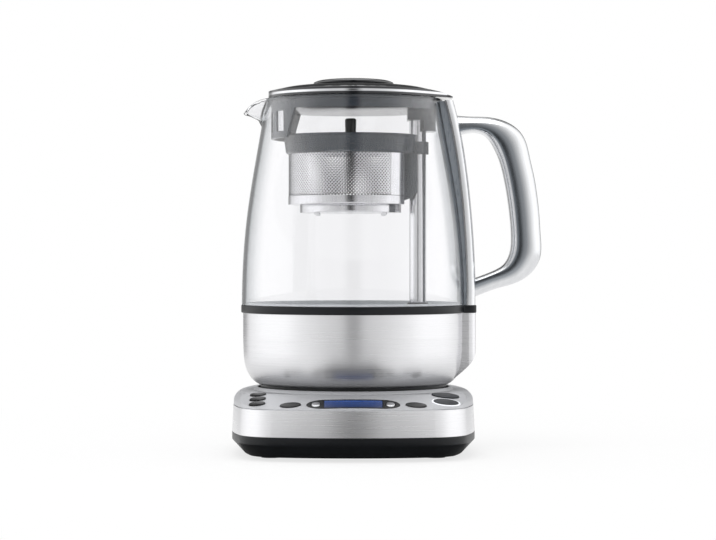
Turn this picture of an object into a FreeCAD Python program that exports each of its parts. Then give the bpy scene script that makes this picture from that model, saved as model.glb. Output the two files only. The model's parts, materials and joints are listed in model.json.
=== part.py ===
"""Automatic tea maker: power base, glass jug, motor-driven tea basket and lid.

Millimetres, +Z up. The origin is on the counter under the jug's axis, +X points to the handle
and -Y to the front. Each sub-part has its own function, and the table at the end names them.
"""
import FreeCAD
import Part
import math
import os

V = FreeCAD.Vector

# ---- driving dimensions -------------------------------------------------------------------
# power base
PANEL_DEPTH = 17.0          # jug's seat to the middle of the back and of each side
FRONT_STRETCH = 15.5        # how much further the base reaches to the front
BOW_RADIUS = 200.0          # radius of the bowed sides
CORNER_RADIUS = 32.0        # radius of the plan corners
FOOT_HEIGHT = 2.2           # rubber feet below the tray
TRAY_EDGE_Z = 10.8          # where the tray's bevel meets its upright wall
TRAY_BEVEL = 8.0            # how far the bevel runs in
TRAY_WALL = 2.4
TRAY_TOP_Z = 16.2           # steel skirt starts here
SEAM_Z = 34.0               # steel skirt ends here
SKIRT_WALL = 1.0
SKIRT_DRAFT = 0.9           # how far the skirt leans in at its top
SEAM_GROOVE = 0.6           # shadow line between skirt and top panel
TOP_Z = 43.0                # flat top of the power base
PANEL_WALL = 2.4
SHOULDER_RADIUS = 6.0
PANEL_SLOPE = 18.0          # degrees, front control panel
DISH_FIT = 1.8              # jug's foot to the wall of its seat
DISH_DEPTH = 1.7
SEAT_RIM_HEIGHT = 2.0       # sloping rim round the jug's seat
SEAT_RIM_WIDTH = 3.2
PAD_RADIUS = 7.0            # rubber feet
PAD_INSET_X = 28.5
PAD_FRONT_INSET = 44.0
PAD_REAR_INSET = 30.5
PAD_SINK = 1.0
BASE_SCREW_RADIUS = 1.5
SCREW_INSET = 24.5
SCREW_Y = 27.0
SCREW_HEAD_Z = 6.0
BOSS_JOINT_Z = 20.0         # where the screw bosses of tray and panel meet
GLAND_Z = 8.8
GLAND_RADIUS = 4.6
CORD_BORE = 3.4
GLAND_BLOCK_HALF = 9.0
POWER_BOARD_Z = 10.0
POWER_BOARD_HALF = 38.0
POWER_BOARD_Y = 26.0
POWER_BOARD_DEPTH = 34.0
BOARD_MARGIN = 6.0          # board's edges to the parts on it
RELAY_SIZE = (18.0, 16.0, 15.0)
TRANSFORMER_SIZE = (26.0, 22.0, 18.0)
CAPACITOR_RADIUS = 5.0
CAPACITOR_HEIGHT = 14.0

# controls on the sloping panel, set in from the middle of the base's front or side
DISPLAY_INSET = 12.5
PILL_DEPTH = 15.6
PILL_END_GAP = 10.6         # display bezel's end to the middle of the select button
WINDOW_DEPTH = 13.2
WINDOW_END_GAP = 5.4        # display window's end to the middle of the arrow button
ARROW_PITCH = 17.0          # arrow button to select button
ARROW_SIZE = (6.0, 8.0)
SELECT_INSET = 13.8
SELECT_PITCH = 20.2         # select button to large button
SELECT_SIZE = (14.0, 8.4)
LARGE_SIDE_INSET = 21.9
LARGE_INSET = 23.7
LARGE_PITCH = 12.2
LARGE_FRONT_SIZE = (16.6, 10.2)
LARGE_REAR_SIZE = (18.4, 9.0)
RING_BAND = 1.3             # bright ring round the front large button
PRESET_SIDE_INSET = 19.7
PRESET_INSET = 21.3
PRESET_PITCH = 8.7
PRESET_SIZE = (10.8, 6.8)
BUTTON_PROUD = 0.7
BUTTON_TRAVEL = 0.8
BUTTON_CLEARANCE = 0.3
BOARD_DEPTH = 12.0          # panel surface to the control board
BOARD_THICKNESS = 1.6
BOARD_REAR = 31.0           # display's middle to the board's rear edge, along the slope
SWITCH_HEIGHT = 3.4
BOARD_POST_INSET = 25.5

# connector between base and jug
BOSS_RADIUS = 16.0
BOSS_TOP_Z = 50.4
GROOVE_RADIUS = 11.25       # mean radius of the ring contact's groove
GROOVE_WIDTH = 2.6
GROOVE_DEPTH = 8.0
PIN_BORE = 2.6
RUNNING_FIT = 0.05
TURN_RING_OUTER = 21.0
TURN_RING_HEIGHT = 3.0
COUPLER_RADIUS = 24.0
COUPLER_TOP_Z = 62.0
COUPLER_FLANGE_RADIUS = 33.0
COUPLER_SCREW_RING = 29.0

# jug
JUG_GAP = 0.3               # jug above its seat
BOWL_RADIUS = 77.2
BOWL_TOP_Z = 96.5
BOWL_WALL = 1.0
BOWL_FOOT_RADIUS = 65.0
BAND_TOP_Z = 102.0
BAND_RADIUS = 78.5
BAND_LIP = 1.6              # upstand inside the glass
GLASS_FOOT_RADIUS = 78.2
GLASS_WALL = 2.6
RIM_Z = 245.4
RIM_RADIUS = 61.0
SPOUT_TIP_X = -74.5
SPOUT_TIP_DROP = 8.8        # below the rim
SPOUT_TIP_RADIUS = 2.6
SPOUT_ROOT_X = -50.0
SPOUT_ROOT_DROP = 2.4
SPOUT_ROOT_RADIUS = 23.0
SPOUT_WALL = 2.0
SPINE_HALF_WIDTH = 17.0
SPINE_CORNER = 5.0
SPINE_DEPTH = 6.2           # how deep the steel channel is
SPINE_WALL = 1.2
BULGE_REACH = 84.9          # outside of the spine's foot on the bowl
FIT_GAP = 0.15              # between pieces bonded together
HANDLE_WALL = 1.6
SECTION_POINTS = 16         # handle's section
SECTION_POWER = 2.5         # 2 is an ellipse, more is squarer

# basket lift
POST_X = 45.0
POST_RADIUS = 5.8
POST_WALL = 0.7
POST_DROP = 11.4            # top of the post below the rim
SCREW_RADIUS = 2.4
SLIDE_GAP = 0.3
GEAR_MODULE = 1.0
PINION_TEETH = 12
SCREW_GEAR_TEETH = 24
GEAR_Z = 70.0
GEAR_WIDTH = 6.0
MOTOR_RADIUS = 11.0
MOTOR_LENGTH = 15.0
PLATE_Z = 98.0              # underside of the heating plate
PLATE_THICKNESS = 1.5
ELEMENT_RADIUS = 30.0
ELEMENT_TUBE = 3.4
ELEMENT_GAP = 50.0          # degrees left open between the element's tails
FRAME_THICKNESS = 3.0
MAGNET_HEIGHT = 10.0

# basket
BASKET_X = -2.0
COLLAR_RADIUS = 47.3
COLLAR_DROP = 25.4          # top of the basket below the rim
COLLAR_HEIGHT = 13.2
COLLAR_TAPER = 2.0
LUG_DROP = 4.4              # loop round the post below the collar's top
MESH_RADIUS = 43.3
MESH_WALL = 0.8
MESH_FLAT_X = 34.7          # flat side of the basket, next to the post
MESH_HEIGHT = 29.2
RING_HEIGHT = 6.0
CUP_RADIUS = 35.4
CUP_HEIGHT = 5.6
LOOP_WALL = 1.5
SLIDER_HALF_WIDTH = 9.0
SLIDER_HEIGHT = 32.3
BASKET_LID_DROP = 6.0       # basket's lid below the top of the collar
BASKET_LID_THICKNESS = 1.6
BASKET_KNOB_RADIUS = 4.0
BASKET_KNOB_HEIGHT = 15.0
BASKET_LID_GAP = 0.5
CUP_HOLES = 12
CUP_HOLE_ROWS = ((10.0, 2.2), (18.0, 2.6), (26.0, 3.0))

# lid
LID_RADIUS = 59.5
LID_GAP = 0.4
LID_TONGUE_X = 69.0
LID_TONGUE_HALF_WIDTH = 17.0
LID_SHOULDER_RISE = 5.5     # heights above the glass rim
LID_CROWN_RISE = 10.0
GRIP_RISE = 14.4
LID_SKIN = 3.0
GRIP_RADIUS = 28.1
LID_CURVE = ((0.0, 0.0), (0.445, 0.11), (0.71, 0.29), (0.857, 0.62), (0.958, 1.0))  # shares
PLUG_RADIUS = 57.6
PLUG_DEPTH = 8.4            # depths below the glass rim
GUARD_DEPTH = 28.2
SOCKET_DEPTH = 14.8
STRAP_DEPTH = 22.6
PLUG_WALL = 2.2
SEAL_RADIUS = 58.1
SEAL_HEIGHT = 2.0
GUARD_SPREAD_TOP = 50.0     # degrees each side of the spout
GUARD_SPREAD_BOTTOM = 41.0
GUARD_WINDOWS = 5
GUARD_PITCH = 15.0
GUARD_WINDOW_ARC = 10.0
SOCKET_HALF_WIDTH = 11.0
CLEAR_HIGH = 30.0           # past every surface, for cutting tools

# ---- derived sizes --------------------------------------------------------------------------
DISH_RADIUS = BOWL_FOOT_RADIUS + DISH_FIT
BASE_HALF = DISH_RADIUS + PANEL_DEPTH
BASE_FRONT = BASE_HALF + FRONT_STRETCH
PAD_X = BASE_HALF - PAD_INSET_X
PAD_FRONT_Y = PAD_FRONT_INSET - BASE_FRONT
PAD_REAR_Y = BASE_HALF - PAD_REAR_INSET
SCREW_X = BASE_HALF - SCREW_INSET
LARGE_X = BASE_HALF - LARGE_SIDE_INSET
SELECT_X = LARGE_X - SELECT_PITCH
ARROW_X = SELECT_X - ARROW_PITCH
PRESET_X = PRESET_SIDE_INSET - BASE_HALF
PILL_WIDTH = 2 * (SELECT_X - PILL_END_GAP)
WINDOW_WIDTH = 2 * (ARROW_X - WINDOW_END_GAP)
DISPLAY_Y = DISPLAY_INSET - BASE_FRONT
SELECT_Y = SELECT_INSET - BASE_FRONT
LARGE_FRONT_Y = LARGE_INSET - BASE_FRONT
LARGE_REAR_Y = LARGE_FRONT_Y + LARGE_PITCH
PRESET_FIRST_Y = PRESET_INSET - BASE_FRONT
SPOUT_TIP_Z = RIM_Z - SPOUT_TIP_DROP
SPOUT_ROOT_Z = RIM_Z - SPOUT_ROOT_DROP
POST_TOP_Z = RIM_Z - POST_DROP
COLLAR_TOP_Z = RIM_Z - COLLAR_DROP
COLLAR_LOW = COLLAR_TOP_Z - COLLAR_HEIGHT
MESH_BOTTOM_Z = COLLAR_LOW - MESH_HEIGHT
RING_BOTTOM_Z = MESH_BOTTOM_Z - RING_HEIGHT
CUP_BOTTOM_Z = RING_BOTTOM_Z - CUP_HEIGHT
SLIDER_BOTTOM_Z = COLLAR_LOW - SLIDER_HEIGHT
BASKET_LID_Z = COLLAR_TOP_Z - BASKET_LID_DROP
BASKET_KNOB_TOP_Z = BASKET_LID_Z + 3 + BASKET_KNOB_HEIGHT
LID_LOW = RIM_Z + LID_GAP
LID_SHOULDER_Z = RIM_Z + LID_SHOULDER_RISE
LID_CROWN_Z = RIM_Z + LID_CROWN_RISE
GRIP_TOP_Z = RIM_Z + GRIP_RISE
PLUG_BOTTOM_Z = RIM_Z - PLUG_DEPTH
GUARD_BOTTOM_Z = RIM_Z - GUARD_DEPTH
SOCKET_BOTTOM_Z = RIM_Z - SOCKET_DEPTH
STRAP_BOTTOM_Z = RIM_Z - STRAP_DEPTH
BOW_CENTRE = BOW_RADIUS - BASE_HALF
FRONT_BOW_Y = BOW_RADIUS - BASE_FRONT
CORNER_REACH = BOW_RADIUS - CORNER_RADIUS
CORNER_CENTRE = (math.sqrt(2 * CORNER_REACH ** 2 - BOW_CENTRE ** 2) - BOW_CENTRE) / 2
DISH_Z = TOP_Z - DISH_DEPTH
SEAM_TOP_Z = SEAM_Z + SEAM_GROOVE
SLOPE = math.radians(PANEL_SLOPE)
JUG_Z = DISH_Z + JUG_GAP
TURN_RING_Z = DISH_Z + RUNNING_FIT
PLUG_FLOOR_Z = TURN_RING_Z + TURN_RING_HEIGHT + JUG_GAP
BOWL_EDGE_RADIUS = BOWL_FOOT_RADIUS + 1.2


def up_jug(share):
    """Height at a share of the way from the band to the rim."""
    return BAND_TOP_Z + share * (RIM_Z - BAND_TOP_Z)


def bowl_out(share):
    """Radius at a share of the way from the bowl's lower edge to its widest."""
    return BOWL_EDGE_RADIUS + share * (BOWL_RADIUS - BOWL_EDGE_RADIUS)


GLASS_SIDE = [
    (GLASS_FOOT_RADIUS, BAND_TOP_Z), (77.6, up_jug(0.167)), (74.0, up_jug(0.46)),
    (67.2, up_jug(0.753)), (RIM_RADIUS, RIM_Z)]
BOWL_SIDE = [
    (BOWL_EDGE_RADIUS, 46.9), (bowl_out(0.54), 52.0), (bowl_out(0.78), 57.0),
    (bowl_out(0.95), 66.0), (BOWL_RADIUS, 80.0), (BOWL_RADIUS, BOWL_TOP_Z)]
BULGE_HEEL = [
    (BULGE_REACH - 21.9, 46.9), (BULGE_REACH - 13.4, 52.6), (BULGE_REACH - 8.0, 57.2),
    (BULGE_REACH - 3.7, 61.6), (BULGE_REACH - 1.0, 66.0), (BULGE_REACH, 73.0)]
SPINE_EDGE = [
    (BULGE_REACH - 0.3, BAND_TOP_Z), (BULGE_REACH - 0.6, up_jug(0.202)),
    (BULGE_REACH - 3.7, up_jug(0.509)), (BULGE_REACH - 9.6, up_jug(0.809)),
    (BULGE_REACH - 15.7, up_jug(0.99))]
GEAR_CENTRES = GEAR_MODULE * (PINION_TEETH + SCREW_GEAR_TEETH) / 2
PLATE_TOP_Z = PLATE_Z + PLATE_THICKNESS
POST_BORE = POST_RADIUS - POST_WALL
POST_FOOT_Z = PLATE_Z - 12.0
FRAME_Z = GEAR_Z - 5.0
SHUTTLE_RADIUS = POST_BORE - SLIDE_GAP
SHUTTLE_LOW = SLIDER_BOTTOM_Z + 6
SHUTTLE_HIGH = COLLAR_LOW - 2
SHUTTLE_MAGNET_LOWS = (SHUTTLE_LOW + 2, SHUTTLE_HIGH - 2 - MAGNET_HEIGHT)
LOOP_BORE = POST_RADIUS + SLIDE_GAP
LOOP_RADIUS = LOOP_BORE + LOOP_WALL
SCREW_SPOTS = [(sx * SCREW_X, sy * SCREW_Y) for sx in (-1, 1) for sy in (-1, 1)]
PAD_SPOTS = [(side * PAD_X, y) for side in (-1, 1) for y in (PAD_FRONT_Y, PAD_REAR_Y)]
BOARD_POSTS = [
    (side * x, BOARD_POST_INSET - BASE_FRONT) for side in (-1, 1) for x in (SELECT_X + 5.6, ARROW_X + 0.6)]
COUPLER_SCREWS = [
    (COUPLER_SCREW_RING * math.cos(turn), COUPLER_SCREW_RING * math.sin(turn))
    for turn in (math.pi / 2, math.pi / 2 + 2 * math.pi / 3, math.pi / 2 + 4 * math.pi / 3)]
# Handle stations: centre x, centre z, half thickness, half width, lean of the section (degrees).
HANDLE_STATIONS = [
    (70.0, up_jug(0.8696), 7.65, 12.5, 90.0),
    (83.6, up_jug(0.8772), 5.58, 11.8, 85.3),
    (97.2, up_jug(0.8610), 7.74, 11.3, 52.3),
    (107.6, up_jug(0.8005), 10.99, 11.0, 27.7),
    (112.6, up_jug(0.7109), 10.73, 11.0, 9.7),
    (115.8, up_jug(0.6178), 10.60, 11.0, 8.0),
    (118.1, up_jug(0.5233), 10.51, 11.0, 6.1),
    (119.7, up_jug(0.4281), 10.41, 11.0, 3.2),
    (120.6, up_jug(0.3325), 10.41, 11.0, 0.1),
    (119.7, up_jug(0.2370), 10.79, 11.0, -13.7),
    (112.0, up_jug(0.1599), 8.96, 11.0, -31.1),
    (99.4, up_jug(0.1215), 6.41, 11.2, -59.9),
    (86.5, up_jug(0.0890), 6.20, 11.8, -69.7),
    (73.5, up_jug(0.0572), 6.90, 12.5, -69.0),
]


# ---- small tools ----------------------------------------------------------------------------
def rod(radius, low, high, x=0.0, y=0.0):
    return Part.makeCylinder(radius, high - low, V(x, y, low))


def tube(outer, inner, low, high, x=0.0, y=0.0):
    return rod(outer, low, high, x, y).cut(rod(inner, low, high, x, y))


def block(x0, x1, y0, y1, z0, z1):
    return Part.makeBox(x1 - x0, y1 - y0, z1 - z0, V(x0, y0, z0))


def outline_wire(spots, smooth):
    """Closed wire: one spline through the first `smooth` spots, straight lines through the rest."""
    edges = []
    corners = spots + spots[:1]
    if smooth:
        curve = Part.BSplineCurve()
        curve.interpolate(spots[:smooth])
        edges.append(curve.toShape())
        corners = spots[smooth - 1:] + spots[:1]
    for a, b in zip(corners, corners[1:]):
        if a.distanceToPoint(b) > 1e-6:
            edges.append(Part.LineSegment(a, b).toShape())
    return Part.Wire(edges)


def turned(points, centre=(0.0, 0.0), smooth=0):
    """Solid of revolution about a vertical axis from (radius, z) points.

    The first `smooth` points lie on one spline, and the rest are joined by straight lines.
    """
    spots = [V(r, 0, z) for r, z in points]
    solid = Part.Face(outline_wire(spots, smooth)).revolve(V(0, 0, 0), V(0, 0, 1), 360)
    solid.translate(V(centre[0], centre[1], 0))
    return solid


def side_cut(points, half_width, smooth=0):
    """Prism across Y from an outline in the XZ plane, its first `smooth` points on one spline."""
    spots = [V(x, -half_width, z) for x, z in points]
    return Part.Face(outline_wire(spots, smooth)).extrude(V(0, 2 * half_width, 0))


def fused(*shapes):
    return shapes[0].multiFuse(list(shapes[1:])).removeSplitter()


def inward(points, wall):
    return [(r - wall, z) for r, z in points]


def corner_arc(x, y, radius, z):
    """Level arc rounding the outer corner at (x, y), x > 0: anticlockwise seen from above."""
    side = math.copysign(1, y)
    bend = radius * (1 - math.sqrt(0.5))
    on_side = V(x - radius, y, z)
    on_end = V(x, y - side * radius, z)
    middle = V(x - bend, y - side * bend, z)
    return Part.Arc(on_end, middle, on_side) if y > 0 else Part.Arc(on_side, middle, on_end)


def base_outline(inset, z):
    """Closed plan wire of the power base, drawn in by inset: bowed sides with a straight waist."""
    side = BOW_RADIUS - inset
    half = BASE_HALF - inset
    tx = CORNER_CENTRE / CORNER_REACH * side
    ty = (CORNER_CENTRE + BOW_CENTRE) / CORNER_REACH * side - BOW_CENTRE
    diagonal = CORNER_CENTRE + (CORNER_RADIUS - inset) / math.sqrt(2)
    lean = math.asin(tx / side) / 2
    bow_x = side * math.cos(lean) - BOW_CENTRE
    bow_y = side * math.sin(lean)
    front = -FRONT_STRETCH
    right = [(tx, front - ty), (diagonal, front - diagonal), (ty, front - tx), (bow_x, front - bow_y)]
    right += [(half, front), (half, front / 2), (half, 0), (bow_x, bow_y)]
    right += [(ty, tx), (diagonal, diagonal), (tx, ty)]
    left = [(-x, y) for x, y in reversed(right)]
    loop = [V(x, y, z) for x, y in right + [(0, half)] + left + [(0, front - half)] + right[:1]]
    edges = []
    for start, middle, end in zip(loop[::2], loop[1::2], loop[2::2]):
        straight = start.x == end.x
        edge = Part.LineSegment(start, end) if straight else Part.Arc(start, middle, end)
        edges.append(edge.toShape())
    return Part.Wire(edges)


def base_prism(inset_low, low, inset_high, high):
    return Part.makeLoft([base_outline(inset_low, low), base_outline(inset_high, high)], True, True)


def under_slope(offset):
    """Everything below the flat top and the conical front slope, both moved out by offset."""
    rise = math.tan(SLOPE)
    seam = SEAM_Z + offset / math.cos(SLOPE)
    top = TOP_Z + offset
    break_radius = BOW_RADIUS - (top - seam) / rise
    margin = 20.0
    profile = [(0, 0), (BOW_RADIUS + margin, 0), (BOW_RADIUS + margin, seam - margin * rise)]
    profile += [(break_radius, top), (0, top)]
    return turned(profile, (0.0, FRONT_BOW_Y))


def slope_point(x, y):
    """Point of the sloping panel above (x, y)."""
    radius = math.hypot(x, y - FRONT_BOW_Y)
    return V(x, y, SEAM_Z + (BOW_RADIUS - radius) * math.tan(SLOPE))


# The deck is the control board's own frame: its z runs square to the panel at the display.
NORMAL = V(0, -math.sin(SLOPE), math.cos(SLOPE))
DECK = FreeCAD.Placement(
    slope_point(0, DISPLAY_Y) - NORMAL * BOARD_DEPTH, FreeCAD.Rotation(V(1, 0, 0), PANEL_SLOPE))


def deck_spot(x, y):
    """(x, y, height) of a control in the deck frame."""
    spot = DECK.inverse().multVec(slope_point(x, y))
    return spot.x, spot.y, spot.z


def on_deck(shape):
    placed = shape.copy()
    placed.Placement = DECK.multiply(placed.Placement)
    return placed


def oval(x, y, size, low, high, grow=0.0):
    """Elliptical prism in the deck frame, centred on a control."""
    sx, sy, height = deck_spot(x, y)
    wide = size[0] / 2 + grow
    deep = size[1] / 2 + grow
    ellipse = Part.Ellipse(V(0, 0, 0), max(wide, deep), min(wide, deep)).toShape()
    prism = Part.Face(Part.Wire([ellipse])).extrude(V(0, 0, high - low))
    if deep > wide:
        prism.rotate(V(0, 0, 0), V(0, 0, 1), 90)
    prism.translate(V(sx, sy, low))
    return on_deck(prism)


def pill(low, high, grow=0.0):
    """Display bezel outline: straight middle, half-elliptical ends."""
    sx, sy, height = deck_spot(0, DISPLAY_Y)
    half = WINDOW_WIDTH / 2
    deep = PILL_DEPTH / 2 + grow
    end = (PILL_WIDTH - WINDOW_WIDTH) / 2 + grow
    middle = block(-half, half, sy - deep, sy + deep, low, high)
    solids = [middle]
    for side in (-half, half):
        ellipse = Part.Ellipse(V(0, 0, 0), end, deep).toShape()
        cap = Part.Face(Part.Wire([ellipse])).extrude(V(0, 0, high - low))
        cap.translate(V(side, sy, low))
        solids.append(cap)
    return on_deck(fused(*solids))


def window_block(low, high, grow=0.0):
    sx, sy, height = deck_spot(0, DISPLAY_Y)
    half = WINDOW_WIDTH / 2 + grow
    deep = WINDOW_DEPTH / 2 + grow
    return on_deck(block(-half, half, sy - deep, sy + deep, low, high))


PRESETS = [(PRESET_X, PRESET_FIRST_Y + PRESET_PITCH * row, PRESET_SIZE) for row in range(3)]
BUTTONS = {
    "arrow_button_left": (-ARROW_X, DISPLAY_Y, ARROW_SIZE),
    "arrow_button_right": (ARROW_X, DISPLAY_Y, ARROW_SIZE),
    "select_button_left": (-SELECT_X, SELECT_Y, SELECT_SIZE),
    "select_button_right": (SELECT_X, SELECT_Y, SELECT_SIZE),
    "large_button_front": (LARGE_X, LARGE_FRONT_Y, LARGE_FRONT_SIZE),
    "large_button_rear": (LARGE_X, LARGE_REAR_Y, LARGE_REAR_SIZE),
    "preset_button_front": PRESETS[0],
    "preset_button_middle": PRESETS[1],
    "preset_button_rear": PRESETS[2],
}


# ---- power base -----------------------------------------------------------------------------
def base_tray():
    outer = fused(
        base_prism(TRAY_BEVEL, FOOT_HEIGHT, 0, TRAY_EDGE_Z),
        base_prism(0, TRAY_EDGE_Z, 0, TRAY_TOP_Z),
        block(-GLAND_BLOCK_HALF, GLAND_BLOCK_HALF, BASE_HALF - 12, BASE_HALF, FOOT_HEIGHT, TRAY_TOP_Z - 1))
    floor = FOOT_HEIGHT + TRAY_WALL
    hollow = fused(
        base_prism(TRAY_BEVEL + TRAY_WALL, floor, TRAY_WALL, TRAY_EDGE_Z + 1),
        base_prism(TRAY_WALL, TRAY_EDGE_Z + 1, TRAY_WALL, TRAY_TOP_Z + 1))
    lip_inset = SKIRT_WALL + SKIRT_DRAFT / 2
    lip = base_prism(lip_inset, TRAY_TOP_Z - 2, lip_inset, TRAY_TOP_Z + 4)
    lip = lip.cut(base_prism(lip_inset + 2, TRAY_TOP_Z - 3, lip_inset + 2, TRAY_TOP_Z + 5))
    tray = outer.cut(hollow).fuse(lip)
    for x, y in SCREW_SPOTS:
        tray = tray.fuse(rod(3 * BASE_SCREW_RADIUS, FOOT_HEIGHT, BOSS_JOINT_Z, x, y))
    corner_x = POWER_BOARD_HALF - 4
    for x in (-corner_x, corner_x):
        for y in (POWER_BOARD_Y + 4, POWER_BOARD_Y + POWER_BOARD_DEPTH - 4):
            tray = tray.fuse(rod(3, FOOT_HEIGHT + 1, POWER_BOARD_Z, x, y))
    for x, y in SCREW_SPOTS:
        tray = tray.cut(rod(BASE_SCREW_RADIUS + 0.2, 0, BOSS_JOINT_Z + 1, x, y))
        tray = tray.cut(rod(2 * BASE_SCREW_RADIUS + 0.4, 0, SCREW_HEAD_Z, x, y))
    for x, y in PAD_SPOTS:
        tray = tray.cut(rod(PAD_RADIUS, 0, FOOT_HEIGHT + PAD_SINK, x, y))
    gland_hole = Part.makeCylinder(GLAND_RADIUS, 20, V(0, BASE_HALF - 16, GLAND_Z), V(0, 1, 0))
    return tray.cut(gland_hole).removeSplitter()


def feet():
    return Part.makeCompound([rod(PAD_RADIUS, 0, FOOT_HEIGHT + PAD_SINK, x, y) for x, y in PAD_SPOTS])


def base_screws():
    screws = []
    for x, y in SCREW_SPOTS:
        head = rod(2 * BASE_SCREW_RADIUS, SCREW_HEAD_Z - 2.4, SCREW_HEAD_Z, x, y)
        head = head.cut(rod(0.6 * BASE_SCREW_RADIUS, 0, SCREW_HEAD_Z - 1.2, x, y))
        screws.append(head.fuse(rod(BASE_SCREW_RADIUS, SCREW_HEAD_Z, BOSS_JOINT_Z + 10, x, y)))
    return Part.makeCompound(screws)


def cord_gland():
    inner_y = BASE_HALF - 14
    body = Part.makeCylinder(GLAND_RADIUS, BASE_HALF - inner_y, V(0, inner_y, GLAND_Z), V(0, 1, 0))
    rim = Part.makeCylinder(GLAND_RADIUS + 1.2, 1.4, V(0, BASE_HALF, GLAND_Z), V(0, 1, 0))
    bore = Part.makeCylinder(CORD_BORE, 30, V(0, inner_y - 1, GLAND_Z), V(0, 1, 0))
    return fused(body, rim).cut(bore)


def base_skirt():
    outer = base_prism(0, TRAY_TOP_Z, SKIRT_DRAFT, SEAM_Z)
    inner = base_prism(SKIRT_WALL, TRAY_TOP_Z, SKIRT_WALL + SKIRT_DRAFT, SEAM_Z)
    flange_inset = SKIRT_DRAFT + 1.5
    shelf = base_prism(SKIRT_DRAFT + 0.4, SEAM_Z - SKIRT_WALL, SKIRT_DRAFT + 0.4, SEAM_Z)
    mouth = base_prism(flange_inset, SEAM_Z - 3, flange_inset, SEAM_Z + 1)
    return outer.cut(inner).fuse(shelf.cut(mouth)).removeSplitter()


def top_panel():
    edge_inset = SKIRT_DRAFT + 0.1
    shell = base_prism(edge_inset, SEAM_TOP_Z, edge_inset + 0.6, TOP_Z)
    shoulder = [edge for edge in shell.Edges if edge.BoundBox.ZMin > TOP_Z - 0.01]
    shell = shell.makeFillet(SHOULDER_RADIUS, shoulder)
    neck = base_prism(edge_inset + 1, SEAM_Z, edge_inset + 1, SEAM_TOP_Z + 1)
    rim_low = TOP_Z - 0.4
    rim_high = TOP_Z + SEAT_RIM_HEIGHT
    rim = Part.makeCone(DISH_RADIUS + SEAT_RIM_WIDTH, DISH_RADIUS + 1, rim_high - rim_low, V(0, 0, rim_low))
    shell = shell.fuse(neck).common(under_slope(0)).fuse(rim)
    wall_inset = edge_inset + PANEL_WALL + 1
    hollow = base_prism(wall_inset, SEAM_Z - 1, wall_inset, TOP_Z).common(under_slope(-PANEL_WALL))
    hollow = hollow.cut(rod(DISH_RADIUS + PANEL_WALL, DISH_Z - PANEL_WALL, TOP_Z))
    panel = shell.cut(hollow)
    inside = under_slope(-PANEL_WALL / 2)
    for x, y in SCREW_SPOTS:
        panel = panel.fuse(rod(2.6 * BASE_SCREW_RADIUS, BOSS_JOINT_Z, TOP_Z - PANEL_WALL / 2, x, y))
    for x, y in BOARD_POSTS:
        sx, sy, height = deck_spot(x, y)
        post = on_deck(rod(2.4, 0, height + 5, sx, sy)).common(inside)
        panel = panel.fuse(post)
    panel = panel.cut(rod(DISH_RADIUS, DISH_Z, rim_high + 1))
    panel = panel.cut(rod(BOSS_RADIUS + 2 * FIT_GAP, 0, TOP_Z))
    for x, y in SCREW_SPOTS:
        panel = panel.cut(rod(BASE_SCREW_RADIUS, 0, BOSS_JOINT_Z + 10, x, y))
    panel = panel.cut(pill(2, CLEAR_HIGH, FIT_GAP))
    for name, (x, y, size) in BUTTONS.items():
        grow = BUTTON_CLEARANCE
        if name == "large_button_front":
            grow = RING_BAND + FIT_GAP
        if not name.startswith("arrow"):
            panel = panel.cut(oval(x, y, size, 2, CLEAR_HIGH, grow))
    return panel.removeSplitter()


def display_bezel():
    body = pill(BOARD_DEPTH - 3, CLEAR_HIGH).common(under_slope(0.3))
    body = body.cut(window_block(0, CLEAR_HIGH))
    for name in ("arrow_button_left", "arrow_button_right"):
        x, y, size = BUTTONS[name]
        body = body.cut(oval(x, y, size, 0, CLEAR_HIGH, BUTTON_CLEARANCE))
    return body


def display_window():
    return window_block(BOARD_DEPTH - 1.2, CLEAR_HIGH, -FIT_GAP / 2).common(under_slope(0.1))


def display_module():
    return window_block(0, BOARD_DEPTH - 1.2, -FIT_GAP / 2)


def large_button_ring():
    x, y, size = BUTTONS["large_button_front"]
    ring = oval(x, y, size, 5, CLEAR_HIGH, RING_BAND).cut(oval(x, y, size, 2, CLEAR_HIGH, BUTTON_CLEARANCE))
    return ring.common(under_slope(0.4)).cut(under_slope(-PANEL_WALL))


def button(name):
    """Cap shaped by the panel's surface, a retaining flange below the panel and a stem."""
    x, y, size = BUTTONS[name]
    low = SWITCH_HEIGHT + BUTTON_TRAVEL + BUTTON_CLEARANCE
    cap = oval(x, y, size, low + 1, CLEAR_HIGH).common(under_slope(BUTTON_PROUD))
    stem = oval(x, y, (3.6, 3.6), low, low + 4)
    if name.startswith("arrow"):
        return fused(cap, stem)
    flange = oval(x, y, size, low + 1, CLEAR_HIGH, 0.9).common(under_slope(-PANEL_WALL - BUTTON_CLEARANCE))
    return fused(cap, flange, stem)


def control_board():
    """Board parallel to the panel, with a tactile switch soldered under each button."""
    outline = base_prism(6, 5, 6, TOP_Z - 1)
    slab = on_deck(block(-BASE_HALF, BASE_HALF, -BASE_HALF, BOARD_REAR, -BOARD_THICKNESS, 0))
    board = outline.common(slab)
    for x, y, size in BUTTONS.values():
        sx, sy, height = deck_spot(x, y)
        body = block(sx - 2.8, sx + 2.8, sy - 2.8, sy + 2.8, 0, SWITCH_HEIGHT - 1)
        board = board.fuse(on_deck(body.fuse(rod(1.7, SWITCH_HEIGHT - 1, SWITCH_HEIGHT, sx, sy))))
    return board.removeSplitter()


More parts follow.
